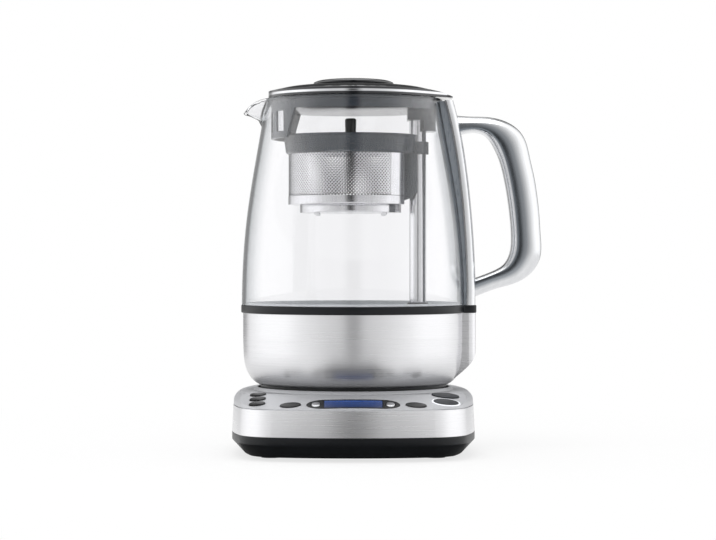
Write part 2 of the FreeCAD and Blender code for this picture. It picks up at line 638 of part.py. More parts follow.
def power_board():
    y1 = POWER_BOARD_Y + POWER_BOARD_DEPTH
    board_top = POWER_BOARD_Z + 1.6
    board = block(-POWER_BOARD_HALF, POWER_BOARD_HALF, POWER_BOARD_Y, y1, POWER_BOARD_Z, board_top)
    y0 = POWER_BOARD_Y + BOARD_MARGIN
    x0 = BOARD_MARGIN + 2 - POWER_BOARD_HALF
    wide, deep, high = RELAY_SIZE
    relay = block(x0, x0 + wide, y0, y0 + deep, board_top, board_top + high)
    wide, deep, high = TRANSFORMER_SIZE
    transformer = block(-x0 - wide, -x0, y0, y0 + deep, board_top, board_top + high)
    capacitor_y = POWER_BOARD_Y + POWER_BOARD_DEPTH / 2
    capacitor = rod(CAPACITOR_RADIUS, board_top, board_top + CAPACITOR_HEIGHT, -4, capacitor_y)
    return fused(board, relay, transformer, capacitor)


def connector_socket():
    flange_top = DISH_Z - PANEL_WALL
    floor = BOSS_TOP_Z - GROOVE_DEPTH
    half = GROOVE_WIDTH / 2
    body = fused(
        rod(BOSS_RADIUS, flange_top - 2, BOSS_TOP_Z),
        rod(BOSS_RADIUS + 10, flange_top - 2, flange_top),
        rod(BOSS_RADIUS - 1, flange_top - 12, flange_top))
    body = body.cut(tube(GROOVE_RADIUS + half, GROOVE_RADIUS - half, floor, BOSS_TOP_Z + 1))
    return body.cut(rod(PIN_BORE, floor - 1, BOSS_TOP_Z + 1))


def connector_contacts():
    half = GROOVE_WIDTH / 2
    floor = BOSS_TOP_Z - GROOVE_DEPTH
    ring = tube(GROOVE_RADIUS + half, GROOVE_RADIUS - half, floor, floor + 1)
    return Part.makeCompound([ring, rod(PIN_BORE, floor - 1, floor)])


def turning_ring():
    top = TURN_RING_Z + TURN_RING_HEIGHT
    return tube(TURN_RING_OUTER, BOSS_RADIUS + RUNNING_FIT, TURN_RING_Z, top)


# ---- jug: bowl, glass, spine and handle -------------------------------------------------------
def jug_plan(radius, reach, half_width, z):
    """Plan wire: a circle with the spine's foot standing out of it towards +X."""
    corner = SPINE_CORNER
    join = math.sqrt(radius ** 2 - half_width ** 2)
    inner = reach - corner
    edges = [
        Part.Arc(V(join, half_width, z), V(-radius, 0, z), V(join, -half_width, z)),
        Part.LineSegment(V(join, -half_width, z), V(inner, -half_width, z)),
        corner_arc(reach, -half_width, corner, z),
        Part.LineSegment(V(reach, corner - half_width, z), V(reach, half_width - corner, z)),
        corner_arc(reach, half_width, corner, z),
        Part.LineSegment(V(inner, half_width, z), V(join, half_width, z)),
    ]
    return Part.Wire([edge.toShape() for edge in edges])


def plan_prism(radius, reach, half_width, low, high):
    return Part.Face(jug_plan(radius, reach, half_width, low)).extrude(V(0, 0, high - low))


def bowl_solid(wall):
    """Outside of the steel bowl drawn in by wall, spine foot included."""
    side = inward(BOWL_SIDE, wall)
    low = BOWL_SIDE[0][1]
    body = turned(side + [(0, BOWL_TOP_Z), (0, low)], smooth=5)
    reach = BULGE_REACH - wall
    section = spine_section(reach, low, reach, SPINE_HALF_WIDTH - wall, SPINE_CORNER)
    foot = Part.Face(section).extrude(V(0, 0, BOWL_TOP_Z - low))
    heel = inward(BULGE_HEEL, wall) + [(reach, BOWL_TOP_Z), (0, BOWL_TOP_Z), (0, BULGE_HEEL[0][1])]
    return body.fuse(foot.common(side_cut(heel, BOWL_RADIUS, smooth=len(BULGE_HEEL))))


def steel_bowl():
    return bowl_solid(0).cut(bowl_solid(BOWL_WALL)).removeSplitter()


def bowl_base():
    """Black underside: a ring that the jug stands on and a plate that holds the coupler."""
    foot_width = 6.0
    skirt_top = BOWL_SIDE[0][1]
    plate_z = JUG_Z + 2.0
    ring = tube(BOWL_FOOT_RADIUS, BOWL_FOOT_RADIUS - foot_width, JUG_Z, skirt_top)
    plate = tube(BOWL_FOOT_RADIUS - 1, COUPLER_RADIUS + FIT_GAP, plate_z, plate_z + 2.4)
    body = ring.fuse(plate)
    for x, y in COUPLER_SCREWS:
        body = body.cut(rod(1.7, JUG_Z, skirt_top, x, y))
    return body.removeSplitter()


def jug_coupler():
    """Socket in the jug's underside that drops over the connector boss."""
    flange_z = JUG_Z + 4.4
    body = fused(
        rod(COUPLER_RADIUS, PLUG_FLOOR_Z, COUPLER_TOP_Z),
        rod(COUPLER_FLANGE_RADIUS, flange_z, flange_z + 2.4))
    body = body.cut(rod(BOSS_RADIUS + 0.8, PLUG_FLOOR_Z - 1, BOSS_TOP_Z + 1))
    for x, y in COUPLER_SCREWS:
        body = body.cut(rod(1.3, flange_z - 1, flange_z + 3, x, y))
    return body


def coupler_contacts():
    ceiling = BOSS_TOP_Z + 1
    floor = BOSS_TOP_Z - GROOVE_DEPTH + 1.5
    blade = tube(GROOVE_RADIUS + 0.5, GROOVE_RADIUS - 0.5, floor, ceiling)
    return Part.makeCompound([blade, rod(PIN_BORE - 0.8, floor, ceiling)])


def coupler_screws():
    screws = []
    for x, y in COUPLER_SCREWS:
        head = rod(2.6, JUG_Z + 0.4, JUG_Z + 2, x, y).cut(rod(0.9, JUG_Z, JUG_Z + 1.2, x, y))
        screws.append(head.fuse(rod(1.3, JUG_Z + 2, JUG_Z + 6.8, x, y)))
    return Part.makeCompound(screws)


def band_seal():
    spine_half = SPINE_HALF_WIDTH + 0.6
    body = plan_prism(BAND_RADIUS, BULGE_REACH + 0.5, spine_half, BOWL_TOP_Z, BAND_TOP_Z)
    lip_outer = GLASS_FOOT_RADIUS - GLASS_WALL - FIT_GAP
    body = body.fuse(rod(lip_outer, BAND_TOP_Z, BAND_TOP_Z + BAND_LIP))
    return body.cut(rod(lip_outer - 2.0, BOWL_TOP_Z - 1, BAND_TOP_Z + 3)).removeSplitter()


def heating_plate():
    radius = GLASS_FOOT_RADIUS - GLASS_WALL - FIT_GAP - 2.0
    plate = rod(radius, PLATE_Z, PLATE_TOP_Z).fuse(tube(radius, radius - 1.2, BOWL_TOP_Z - 6, PLATE_TOP_Z))
    return plate.cut(rod(POST_RADIUS + FIT_GAP, PLATE_Z - 1, PLATE_TOP_Z + 1, POST_X)).removeSplitter()


def heating_element():
    """Sheathed element brazed under the plate: most of a circle, with two tails that turn down."""
    z = PLATE_Z - ELEMENT_TUBE
    start = math.radians(180 + ELEMENT_GAP / 2)
    end = math.radians(180 - ELEMENT_GAP / 2 + 360)
    first = V(ELEMENT_RADIUS * math.cos(start), ELEMENT_RADIUS * math.sin(start), z)
    last = V(ELEMENT_RADIUS * math.cos(end), ELEMENT_RADIUS * math.sin(end), z)
    ring = Part.makeTorus(ELEMENT_RADIUS, ELEMENT_TUBE, V(0, 0, z))
    wedge_points = [V(0, 0, 0), V(3 * first.x, 3 * first.y, 0), V(3 * last.x, 3 * last.y, 0), V(0, 0, 0)]
    gap = Part.Face(Part.makePolygon(wedge_points)).extrude(V(0, 0, 200))
    body = ring.cut(gap)
    for spot in (first, last):
        tail = rod(ELEMENT_TUBE, z - 16, z, spot.x, spot.y)
        body = body.fuse(tail).fuse(Part.makeSphere(ELEMENT_TUBE, spot))
    return body.removeSplitter()


def thermostat():
    disc = rod(10, PLATE_Z - 7, PLATE_Z)
    case = rod(6, PLATE_Z - 12, PLATE_Z - 7)
    return fused(disc, case, rod(1.5, PLATE_Z - 18, PLATE_Z - 12))


def spout_cone(shrink):
    axis = V(SPOUT_ROOT_X - SPOUT_TIP_X, 0, SPOUT_ROOT_Z - SPOUT_TIP_Z)
    tip = V(SPOUT_TIP_X, 0, SPOUT_TIP_Z)
    cone = Part.makeCone(SPOUT_TIP_RADIUS - shrink, SPOUT_ROOT_RADIUS - shrink, axis.Length, tip, axis)
    return cone.fuse(Part.makeSphere(SPOUT_TIP_RADIUS - shrink, tip))


def rim_cutter():
    """Above the glass: level over the rim, curving down along the spout's lip."""
    lip_start = V(3.0 - RIM_RADIUS, -90, RIM_Z)
    lip_middle = V(SPOUT_TIP_X + 5.3, -90, RIM_Z - 4.3)
    lip_end = V(SPOUT_TIP_X - 1.8, -90, RIM_Z - 10.5)
    low = RIM_Z - 14.4
    high = RIM_Z + 50
    corners = [lip_end, V(SPOUT_TIP_X - 2.9, -90, low), V(-99, -90, low), V(-99, -90, high)]
    corners += [V(99, -90, high), V(99, -90, RIM_Z)]
    edges = [Part.Arc(lip_start, lip_middle, lip_end).toShape()]
    for a, b in zip(corners, corners[1:] + [lip_start]):
        edges.append(Part.LineSegment(a, b).toShape())
    return Part.Face(Part.Wire(edges)).extrude(V(0, 180, 0))


def glass_jug():
    over = 12.0
    outer = turned(GLASS_SIDE + [(RIM_RADIUS, RIM_Z + over), (0, RIM_Z + over), (0, BAND_TOP_Z)], smooth=5)
    inner_side = inward(GLASS_SIDE, GLASS_WALL)
    crown = [(RIM_RADIUS - GLASS_WALL, RIM_Z + over), (0, RIM_Z + over), (0, BAND_TOP_Z)]
    inner = turned(inner_side + crown, smooth=5)
    solid = outer.fuse(spout_cone(0)).cut(inner.fuse(spout_cone(SPOUT_WALL)))
    return solid.cut(rim_cutter()).removeSplitter()


def spine_section(x, z, depth, half_width, corner):
    """Level section of the spine: square towards the glass, rounded outside."""
    inner = x - depth
    edges = [
        Part.LineSegment(V(inner, half_width, z), V(inner, -half_width, z)),
        Part.LineSegment(V(inner, -half_width, z), V(x - corner, -half_width, z)),
        corner_arc(x, -half_width, corner, z),
        Part.LineSegment(V(x, corner - half_width, z), V(x, half_width - corner, z)),
        corner_arc(x, half_width, corner, z),
        Part.LineSegment(V(x - corner, half_width, z), V(inner, half_width, z)),
    ]
    return Part.Wire([edge.toShape() for edge in edges])


def spine_loft(depth, wall=0.0):
    sections = []
    for x, z in SPINE_EDGE:
        section = spine_section(x - wall, z, depth - wall, SPINE_HALF_WIDTH - wall, SPINE_CORNER - wall)
        sections.append(section)
    return Part.makeLoft(sections, True, False)


def glass_envelope(gap):
    side = [(r + gap, z) for r, z in GLASS_SIDE]
    return turned(side + [(0, RIM_Z), (0, BAND_TOP_Z)], smooth=5)


def spine_cover():
    """Steel channel down the back of the jug."""
    cover = spine_loft(SPINE_DEPTH).cut(spine_loft(SPINE_DEPTH + 2, SPINE_WALL))
    return cover.cut(glass_envelope(FIT_GAP)).removeSplitter()


def spine_rail():
    """Dark rail bonded to the glass, which fills the steel channel."""
    rail = spine_loft(SPINE_DEPTH + 14, SPINE_WALL + FIT_GAP)
    low = BAND_TOP_Z + FIT_GAP
    rail = rail.common(block(50, 100, -30, 30, low, RIM_Z - 2))
    return rail.cut(glass_envelope(FIT_GAP)).removeSplitter()


def handle_section(station, shrink):
    x, z, thick, wide, lean = station
    across = V(math.cos(math.radians(lean)), 0, math.sin(math.radians(lean)))
    spots = []
    for step in range(SECTION_POINTS):
        angle = 2 * math.pi * step / SECTION_POINTS
        c = math.cos(angle)
        s = math.sin(angle)
        power = 2 / SECTION_POWER
        reach = math.copysign(abs(c) ** power, c) * (thick - shrink)
        side = math.copysign(abs(s) ** power, s) * (wide - shrink)
        spots.append(V(x, 0, z) + across * reach + V(0, side, 0))
    curve = Part.BSplineCurve()
    curve.interpolate(spots, PeriodicFlag=True)
    return Part.Wire([curve.toShape()])


def handle_loft(shrink):
    return Part.makeLoft([handle_section(station, shrink) for station in HANDLE_STATIONS], True, False)


def handle():
    grip = handle_loft(0).cut(handle_loft(HANDLE_WALL))
    grip = grip.cut(spine_loft(SPINE_DEPTH + 20))
    pieces = sorted(grip.Solids, key=lambda solid: solid.Volume)
    return pieces[-1]


# ---- basket lift ------------------------------------------------------------------------------
def lift_post():
    return tube(POST_RADIUS, POST_BORE, POST_FOOT_Z, POST_TOP_Z, POST_X)


def post_foot():
    """Flared seal where the post leaves the heating plate."""
    flare = POST_RADIUS + 3.2
    profile = [(POST_RADIUS + FIT_GAP / 3, PLATE_TOP_Z), (flare, PLATE_TOP_Z), (flare, PLATE_TOP_Z + 1.2)]
    profile += [(POST_RADIUS + 1, PLATE_TOP_Z + 4), (POST_RADIUS + FIT_GAP / 3, PLATE_TOP_Z + 4)]
    return turned(profile, (POST_X, 0.0))


def post_cap():
    """Closes the post and holds the screw's upper end."""
    plug = rod(POST_BORE, POST_TOP_Z - 5, POST_TOP_Z, POST_X)
    head = rod(POST_RADIUS, POST_TOP_Z, POST_TOP_Z + 1, POST_X)
    return fused(plug, head).cut(rod(SCREW_RADIUS + RUNNING_FIT, POST_TOP_Z - 6, POST_TOP_Z - 2, POST_X))


def lead_screw():
    low = GEAR_Z - 8
    high = POST_TOP_Z - 2.4
    return fused(rod(SCREW_RADIUS, low, high, POST_X), rod(SCREW_RADIUS + 1.4, GEAR_Z - 0.8, GEAR_Z, POST_X))


def gear(teeth, bore, x, y, turn):
    """Spur gear with involute flanks, thinned a little for backlash."""
    pitch = GEAR_MODULE * teeth / 2
    root = pitch - 1.25 * GEAR_MODULE
    tip = pitch + GEAR_MODULE
    base = pitch * math.cos(math.radians(20))
    backlash = 0.12
    spots = []

    def involute(radius):
        if radius <= base:
            return 0.0
        roll = math.sqrt((radius / base) ** 2 - 1)
        return roll - math.atan(roll)

    half_pitch = math.pi / (2 * teeth) - backlash / (2 * pitch) + involute(pitch)
    radii = [root, max(base, root + 0.05), pitch, (pitch + tip) / 2, tip]
    for tooth in range(teeth):
        centre = 2 * math.pi * tooth / teeth + turn
        flank = [(r, half_pitch - involute(r)) for r in radii]
        for r, half in flank:
            spots.append((r, centre - half))
        for r, half in reversed(flank):
            spots.append((r, centre + half))
    outline = [V(x + r * math.cos(a), y + r * math.sin(a), GEAR_Z) for r, a in spots]
    body = Part.Face(Part.makePolygon(outline + outline[:1])).extrude(V(0, 0, GEAR_WIDTH))
    return body.cut(rod(bore, GEAR_Z - 1, GEAR_Z + GEAR_WIDTH + 1, x, y))


def screw_gear():
    # a gap between teeth faces the pinion, which stands at +Y of the post
    half_tooth = math.pi / SCREW_GEAR_TEETH
    return gear(SCREW_GEAR_TEETH, SCREW_RADIUS, POST_X, 0.0, math.pi / 2 + half_tooth)


def motor_pinion():
    shaft = rod(1.5, GEAR_Z - 3.4, GEAR_Z + GEAR_WIDTH, POST_X, GEAR_CENTRES)
    return gear(PINION_TEETH, 1.5, POST_X, GEAR_CENTRES, -math.pi / 2).fuse(shaft).removeSplitter()


def gear_frame():
    """Plate with the screw's bearing and the motor's seat, hung from the heating plate by pillars."""
    top = FRAME_Z + FRAME_THICKNESS
    plate = block(POST_X - 13, POST_X + 11, -12, GEAR_CENTRES + 14, FRAME_Z, top)
    body = fused(plate, rod(SCREW_RADIUS + 2.4, FRAME_Z - 3, FRAME_Z + 1, POST_X))
    front_y = -SCREW_GEAR_TEETH * GEAR_MODULE / 2 - GEAR_MODULE - 4
    for x, y in ((POST_X - 9, GEAR_CENTRES + 11), (POST_X + 7, GEAR_CENTRES + 11), (POST_X, front_y)):
        body = body.fuse(rod(3, FRAME_Z, PLATE_Z, x, y))
    body = body.fuse(block(POST_X - 3, POST_X + 3, front_y, -8, FRAME_Z, top))
    body = body.cut(rod(SCREW_RADIUS + RUNNING_FIT, FRAME_Z - 4, top + 1, POST_X))
    return body.cut(rod(1.5 + 0.4, FRAME_Z - 1, top + 1, POST_X, GEAR_CENTRES)).removeSplitter()


def lift_motor():
    low = FRAME_Z - MOTOR_LENGTH
    body = rod(MOTOR_RADIUS, low, FRAME_Z, POST_X, GEAR_CENTRES)
    body = body.fuse(rod(3.5, low - 1.5, low, POST_X, GEAR_CENTRES))
    return body.cut(rod(1.5 + 0.4, FRAME_Z - 0.2, FRAME_Z + 1, POST_X, GEAR_CENTRES))


def magnet_shuttle():
    """Nut on the lead screw, waisted where the ring magnets sit."""
    body = rod(SHUTTLE_RADIUS, SHUTTLE_LOW, SHUTTLE_HIGH, POST_X)
    for low in SHUTTLE_MAGNET_LOWS:
        body = body.cut(tube(SHUTTLE_RADIUS + 1, SHUTTLE_RADIUS - 1.1, low, low + MAGNET_HEIGHT, POST_X))
    return body.cut(rod(SCREW_RADIUS + RUNNING_FIT, SHUTTLE_LOW - 1, SHUTTLE_HIGH + 1, POST_X))


def shuttle_magnets():
    rings = []
    for low in SHUTTLE_MAGNET_LOWS:
        rings.append(tube(SHUTTLE_RADIUS, SHUTTLE_RADIUS - 1.1, low, low + MAGNET_HEIGHT, POST_X))
    return Part.makeCompound(rings)


# ---- basket -----------------------------------------------------------------------------------
def d_prism(radius, flat_x, low, high):
    """Round prism about the basket's axis with one flat side towards the post."""
    body = rod(radius, low, high, BASKET_X)
    return body.common(block(BASKET_X - radius - 1, flat_x, -radius - 1, radius + 1, low, high))


def basket_collar():
    """Tapered ring whose loop rides on the post."""
    base_radius = COLLAR_RADIUS - COLLAR_TAPER
    profile = [(0, COLLAR_LOW), (base_radius - 1.2, COLLAR_LOW), (base_radius, COLLAR_LOW + 1.4)]
    profile += [(COLLAR_RADIUS - 0.6, COLLAR_TOP_Z - 1.6), (COLLAR_RADIUS, COLLAR_TOP_Z - 1)]
    profile += [(COLLAR_RADIUS, COLLAR_TOP_Z)]
    body = turned(profile + [(0, COLLAR_TOP_Z)], (BASKET_X, 0.0))
    loop_top = COLLAR_TOP_Z - LUG_DROP
    lug = fused(
        block(POST_X - 8, POST_X, -LOOP_RADIUS, LOOP_RADIUS, COLLAR_LOW, loop_top),
        rod(LOOP_RADIUS, COLLAR_LOW, loop_top, POST_X))
    body = body.fuse(lug)
    body = body.cut(d_prism(MESH_RADIUS + 0.2, MESH_FLAT_X, COLLAR_LOW + 4, COLLAR_TOP_Z + 1))
    body = body.cut(d_prism(MESH_RADIUS - MESH_WALL - 1.2, MESH_FLAT_X - 2, COLLAR_LOW - 1, COLLAR_TOP_Z))
    return body.cut(rod(LOOP_BORE, COLLAR_LOW - 1, COLLAR_TOP_Z + 1, POST_X)).removeSplitter()


def basket_mesh():
    """Fine steel sleeve: its holes are too small to model here."""
    sleeve = d_prism(MESH_RADIUS, MESH_FLAT_X, MESH_BOTTOM_Z, COLLAR_LOW)
    return sleeve.cut(d_prism(MESH_RADIUS - MESH_WALL, MESH_FLAT_X - MESH_WALL, MESH_BOTTOM_Z, COLLAR_LOW))


def basket_ring():
    """Plain steel band under the perforated sleeve, stepped in at its foot."""
    band = d_prism(MESH_RADIUS + 0.4, MESH_FLAT_X + 0.2, RING_BOTTOM_Z, MESH_BOTTOM_Z)
    inside = d_prism(MESH_RADIUS - MESH_WALL, MESH_FLAT_X - MESH_WALL, RING_BOTTOM_Z + 1, MESH_BOTTOM_Z)
    band = band.cut(inside)
    return band.cut(rod(CUP_RADIUS - 1, RING_BOTTOM_Z - 1, RING_BOTTOM_Z + 2, BASKET_X))


def basket_cup():
    """Bottom strainer with rings of drain holes and four small feet."""
    cup = rod(CUP_RADIUS, CUP_BOTTOM_Z, RING_BOTTOM_Z, BASKET_X)
    cup = cup.cut(rod(CUP_RADIUS - 1, CUP_BOTTOM_Z + 1, RING_BOTTOM_Z + 1, BASKET_X))
    for ring, radius in CUP_HOLE_ROWS:
        for step in range(CUP_HOLES):
            angle = 2 * math.pi * step / CUP_HOLES
            x = BASKET_X + ring * math.cos(angle)
            cup = cup.cut(rod(radius, CUP_BOTTOM_Z - 1, CUP_BOTTOM_Z + 2, x, ring * math.sin(angle)))
    for step in range(4):
        angle = math.radians(45 + 90 * step)
        x = BASKET_X + 33 * math.cos(angle)
        cup = cup.fuse(rod(1.7, CUP_BOTTOM_Z - 1.6, CUP_BOTTOM_Z + 0.5, x, 33 * math.sin(angle)))
    return cup.removeSplitter()


def basket_slider():
    """Grey carrier below the collar that cradles the post and holds the magnets."""
    reach = POST_X - 0.8
    outline = [(MESH_FLAT_X + 0.2, COLLAR_LOW), (reach, COLLAR_LOW), (reach, SLIDER_BOTTOM_Z + 5.6)]
    outline += [(POST_X - 5.6, SLIDER_BOTTOM_Z + 1.6), (MESH_FLAT_X + 0.2, SLIDER_BOTTOM_Z)]
    body = side_cut(outline, SLIDER_HALF_WIDTH)
    body = body.cut(rod(LOOP_BORE, SLIDER_BOTTOM_Z - 1, COLLAR_LOW + 1, POST_X))
    body = body.cut(d_prism(MESH_RADIUS + 0.45, MESH_FLAT_X + 0.2, SLIDER_BOTTOM_Z - 1, COLLAR_LOW))
    for pocket in slider_pockets():
        body = body.cut(pocket)
    return body.removeSplitter()


def slider_pockets():
    pockets = []
    for low in SHUTTLE_MAGNET_LOWS:
        pockets.append(block(MESH_FLAT_X + 1.2, MESH_FLAT_X + 3.2, -4, 4, low, low + MAGNET_HEIGHT))
    return pockets


def slider_magnets():
    return Part.makeCompound(slider_pockets())


def basket_lid():
    radius = MESH_RADIUS + 0.2 - BASKET_LID_GAP
    flat = MESH_FLAT_X - BASKET_LID_GAP
    plate = d_prism(radius, flat, BASKET_LID_Z, BASKET_LID_Z + BASKET_LID_THICKNESS)
    skirt = d_prism(radius, flat, BASKET_LID_Z - 3, BASKET_LID_Z)
    skirt = skirt.cut(d_prism(radius - 1.2, flat - 1.2, BASKET_LID_Z - 4, BASKET_LID_Z + 1))
    hub = rod(8, BASKET_LID_Z, BASKET_LID_Z + 3, BASKET_X)
    return fused(plate, skirt, hub)


def basket_lid_knob():
    base = BASKET_LID_Z + 3
    profile = [(0, base), (BASKET_KNOB_RADIUS - 0.4, base), (BASKET_KNOB_RADIUS, BASKET_KNOB_TOP_Z - 1)]
    profile += [(BASKET_KNOB_RADIUS - 0.9, BASKET_KNOB_TOP_Z), (0, BASKET_KNOB_TOP_Z)]
    return turned(profile, (BASKET_X, 0.0))


# ---- lid --------------------------------------------------------------------------------------
def lid_plan(radius, reach, low, high):
    """Round lid with a tongue over the spine: tangent sides run from the circle to the tongue."""
    half = LID_TONGUE_HALF_WIDTH
    start = math.radians(38)
    sx = radius * math.cos(start)
    sy = radius * math.sin(start)
    corner = 4.0
    edges = [
        Part.Arc(V(sx, sy, low), V(-radius, 0, low), V(sx, -sy, low)),
        Part.LineSegment(V(sx, -sy, low), V(reach - corner, -half, low)),
        corner_arc(reach, -half, corner, low),
        Part.LineSegment(V(reach, corner - half, low), V(reach, half - corner, low)),
        corner_arc(reach, half, corner, low),
        Part.LineSegment(V(reach - corner, half, low), V(sx, sy, low)),
    ]
    return Part.Face(Part.Wire([edge.toShape() for edge in edges])).extrude(V(0, 0, high - low))


def lid_body(drop):
    """Outside of the lid's dome lowered by drop."""
    top = LID_CROWN_Z - drop
    fall = LID_CROWN_Z - LID_SHOULDER_Z
    crown = [(share * LID_RADIUS, top - part * fall) for share, part in LID_CURVE]
    edge = LID_RADIUS - drop
    rim = [(edge, LID_SHOULDER_Z - 3 - drop), (edge, LID_LOW - 1), (0, LID_LOW - 1)]
    dome = turned(crown + rim, smooth=5)
    eaves = LID_TONGUE_X + 1
    brim = [(0, top - 2.6), (50.0, top - 2.6), (62.5, top - 5.6), (eaves, top - 8.6)]
    brim = turned(brim + [(eaves, LID_LOW - 2 - drop), (0, LID_LOW - 2 - drop)])
    tongue = lid_plan(edge, LID_TONGUE_X - drop, LID_LOW - 1, LID_CROWN_Z)
    return dome.fuse(tongue.common(brim))


def lid_dome():
    floor = block(-90, 90, -90, 90, LID_LOW, LID_CROWN_Z + 10)
    dome = lid_body(0).common(floor)
    return dome.cut(lid_body(LID_SKIN)).removeSplitter()


def lid_grip():
    profile = [(0, GRIP_TOP_Z), (13.0, GRIP_TOP_Z - 0.25), (21.0, GRIP_TOP_Z - 0.95), (25.4, GRIP_TOP_Z - 1.7)]
    profile += [(GRIP_RADIUS - 0.3, GRIP_TOP_Z - 2.7), (GRIP_RADIUS, GRIP_TOP_Z - 3.6)]
    profile += [(GRIP_RADIUS - 1.6, LID_CROWN_Z - 0.6), (0, LID_CROWN_Z - 0.6)]
    grip = turned(profile, smooth=5)
    return grip.cut(lid_body(0))


def lid_plug():
    """Grey plug under the dome: drum, spout guard with strainer windows, post socket."""
    drum = rod(PLUG_RADIUS, PLUG_BOTTOM_Z, LID_LOW)
    drum = drum.cut(rod(PLUG_RADIUS - PLUG_WALL, PLUG_BOTTOM_Z + PLUG_WALL, LID_LOW - 2))
    seal_top = LID_LOW - LID_GAP
    drum = drum.cut(tube(PLUG_RADIUS + 1, SEAL_RADIUS - 2.4, seal_top - SEAL_HEIGHT, seal_top))
    guard = tube(PLUG_RADIUS, PLUG_RADIUS - PLUG_WALL, GUARD_BOTTOM_Z, PLUG_BOTTOM_Z + 1)
    guard = guard.common(guard_wedge())
    for window in guard_windows(PLUG_RADIUS + 1, PLUG_RADIUS - PLUG_WALL - 1, 0.0):
        guard = guard.cut(window)
    wide = SOCKET_HALF_WIDTH
    top = PLUG_BOTTOM_Z + 1
    socket = block(POST_X - POST_RADIUS - 1.6, PLUG_RADIUS, -wide, wide, SOCKET_BOTTOM_Z, top)
    strap = block(POST_X + 3.5, PLUG_RADIUS, -wide, wide, STRAP_BOTTOM_Z, top)
    leg = socket.fuse(strap).common(rod(PLUG_RADIUS, STRAP_BOTTOM_Z, top))
    body = drum.fuse(guard).fuse(leg)
    return body.cut(rod(POST_RADIUS + 0.5, 0, POST_TOP_Z + 1.6, POST_X)).removeSplitter()


def guard_wedge():
    """Radial wedge round the spout, narrower at its foot."""
    sections = []
    for spread, z in ((GUARD_SPREAD_BOTTOM, GUARD_BOTTOM_Z), (GUARD_SPREAD_TOP, PLUG_BOTTOM_Z + 1)):
        angle = math.radians(spread)
        far = 90.0
        x = far * math.cos(angle)
        y = far * math.sin(angle)
        spots = [V(-10, 0, z), V(-x, y, z), V(-2 * far, y, z), V(-2 * far, -y, z), V(-x, -y, z)]
        sections.append(Part.makePolygon(spots + spots[:1]))
    return Part.makeLoft(sections, True, True)


def guard_windows(outer, inner, shrink):
    """Strainer windows: arcs of a tube, one per pitch, clear of the guard's edges."""
    low = GUARD_BOTTOM_Z + 4.5 + shrink
    high = PLUG_BOTTOM_Z - 1.5 - shrink
    windows = []
    middle = (GUARD_WINDOWS - 1) / 2
    for index in range(GUARD_WINDOWS):
        centre = 180 + (index - middle) * GUARD_PITCH
        half = GUARD_WINDOW_ARC / 2
        ring = Part.makeCylinder(outer, high - low, V(0, 0, low), V(0, 0, 1), 2 * half)
        ring = ring.cut(rod(inner, low - 1, high + 1))
        ring.rotate(V(0, 0, 0), V(0, 0, 1), centre - half)
        windows.append(ring)
    return windows


def spout_strainer():
    middle = PLUG_RADIUS - PLUG_WALL / 2
    return Part.makeCompound(guard_windows(middle + 0.4, middle - 0.4, 0.0))


def lid_seal():
    top = LID_LOW - LID_GAP
    return tube(SEAL_RADIUS, SEAL_RADIUS - 2.4, top - SEAL_HEIGHT, top)


# ---- export -----------------------------------------------------------------------------------
PARTS = {
    "base_tray": base_tray,
    "feet": feet,
    "base_screws": base_screws,
    "cord_gland": cord_gland,
    "base_skirt": base_skirt,
    "top_panel": top_panel,
    "display_bezel": display_bezel,
    "display_window": display_window,
    "display_module": display_module,
    "large_button_ring": large_button_ring,
    "control_board": control_board,
    "power_board": power_board,
    "connector_socket": connector_socket,
    "connector_contacts": connector_contacts,
    "turning_ring": turning_ring,
    "steel_bowl": steel_bowl,
    "bowl_base": bowl_base,
    "jug_coupler": jug_coupler,
    "coupler_contacts": coupler_contacts,
    "coupler_screws": coupler_screws,
    "band_seal": band_seal,
    "heating_plate": heating_plate,
    "heating_element": heating_element,
    "thermostat": thermostat,
    "glass_jug": glass_jug,
    "spine_rail": spine_rail,
    "spine_cover": spine_cover,
    "handle": handle,
    "lift_post": lift_post,
    "post_foot": post_foot,
    "post_cap": post_cap,
    "gear_frame": gear_frame,
    "lift_motor": lift_motor,
    "motor_pinion": motor_pinion,
    "lead_screw": lead_screw,
    "screw_gear": screw_gear,
    "magnet_shuttle": magnet_shuttle,
    "shuttle_magnets": shuttle_magnets,
    "basket_collar": basket_collar,
    "basket_mesh": basket_mesh,
    "basket_ring": basket_ring,
    "basket_cup": basket_cup,
    "basket_slider": basket_slider,
    "slider_magnets": slider_magnets,
    "basket_lid": basket_lid,
    "basket_lid_knob": basket_lid_knob,
    "lid_dome": lid_dome,
    "lid_grip": lid_grip,
    "lid_plug": lid_plug,
    "spout_strainer": spout_strainer,
    "lid_seal": lid_seal,
}


def main():
    os.makedirs("parts", exist_ok=True)
    shapes = {name: make() for name, make in PARTS.items()}
    for name in BUTTONS:
        shapes[name] = button(name)
    for name, shape in shapes.items():
        shape.exportStep("parts/" + name + ".step")
        print(name, "solids", len(shape.Solids), "valid", shape.isValid(), "volume", round(shape.Volume, 1))


main()
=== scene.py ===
"""Automatic tea maker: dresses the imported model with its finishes, fine shapes, light and camera."""
import json
import math

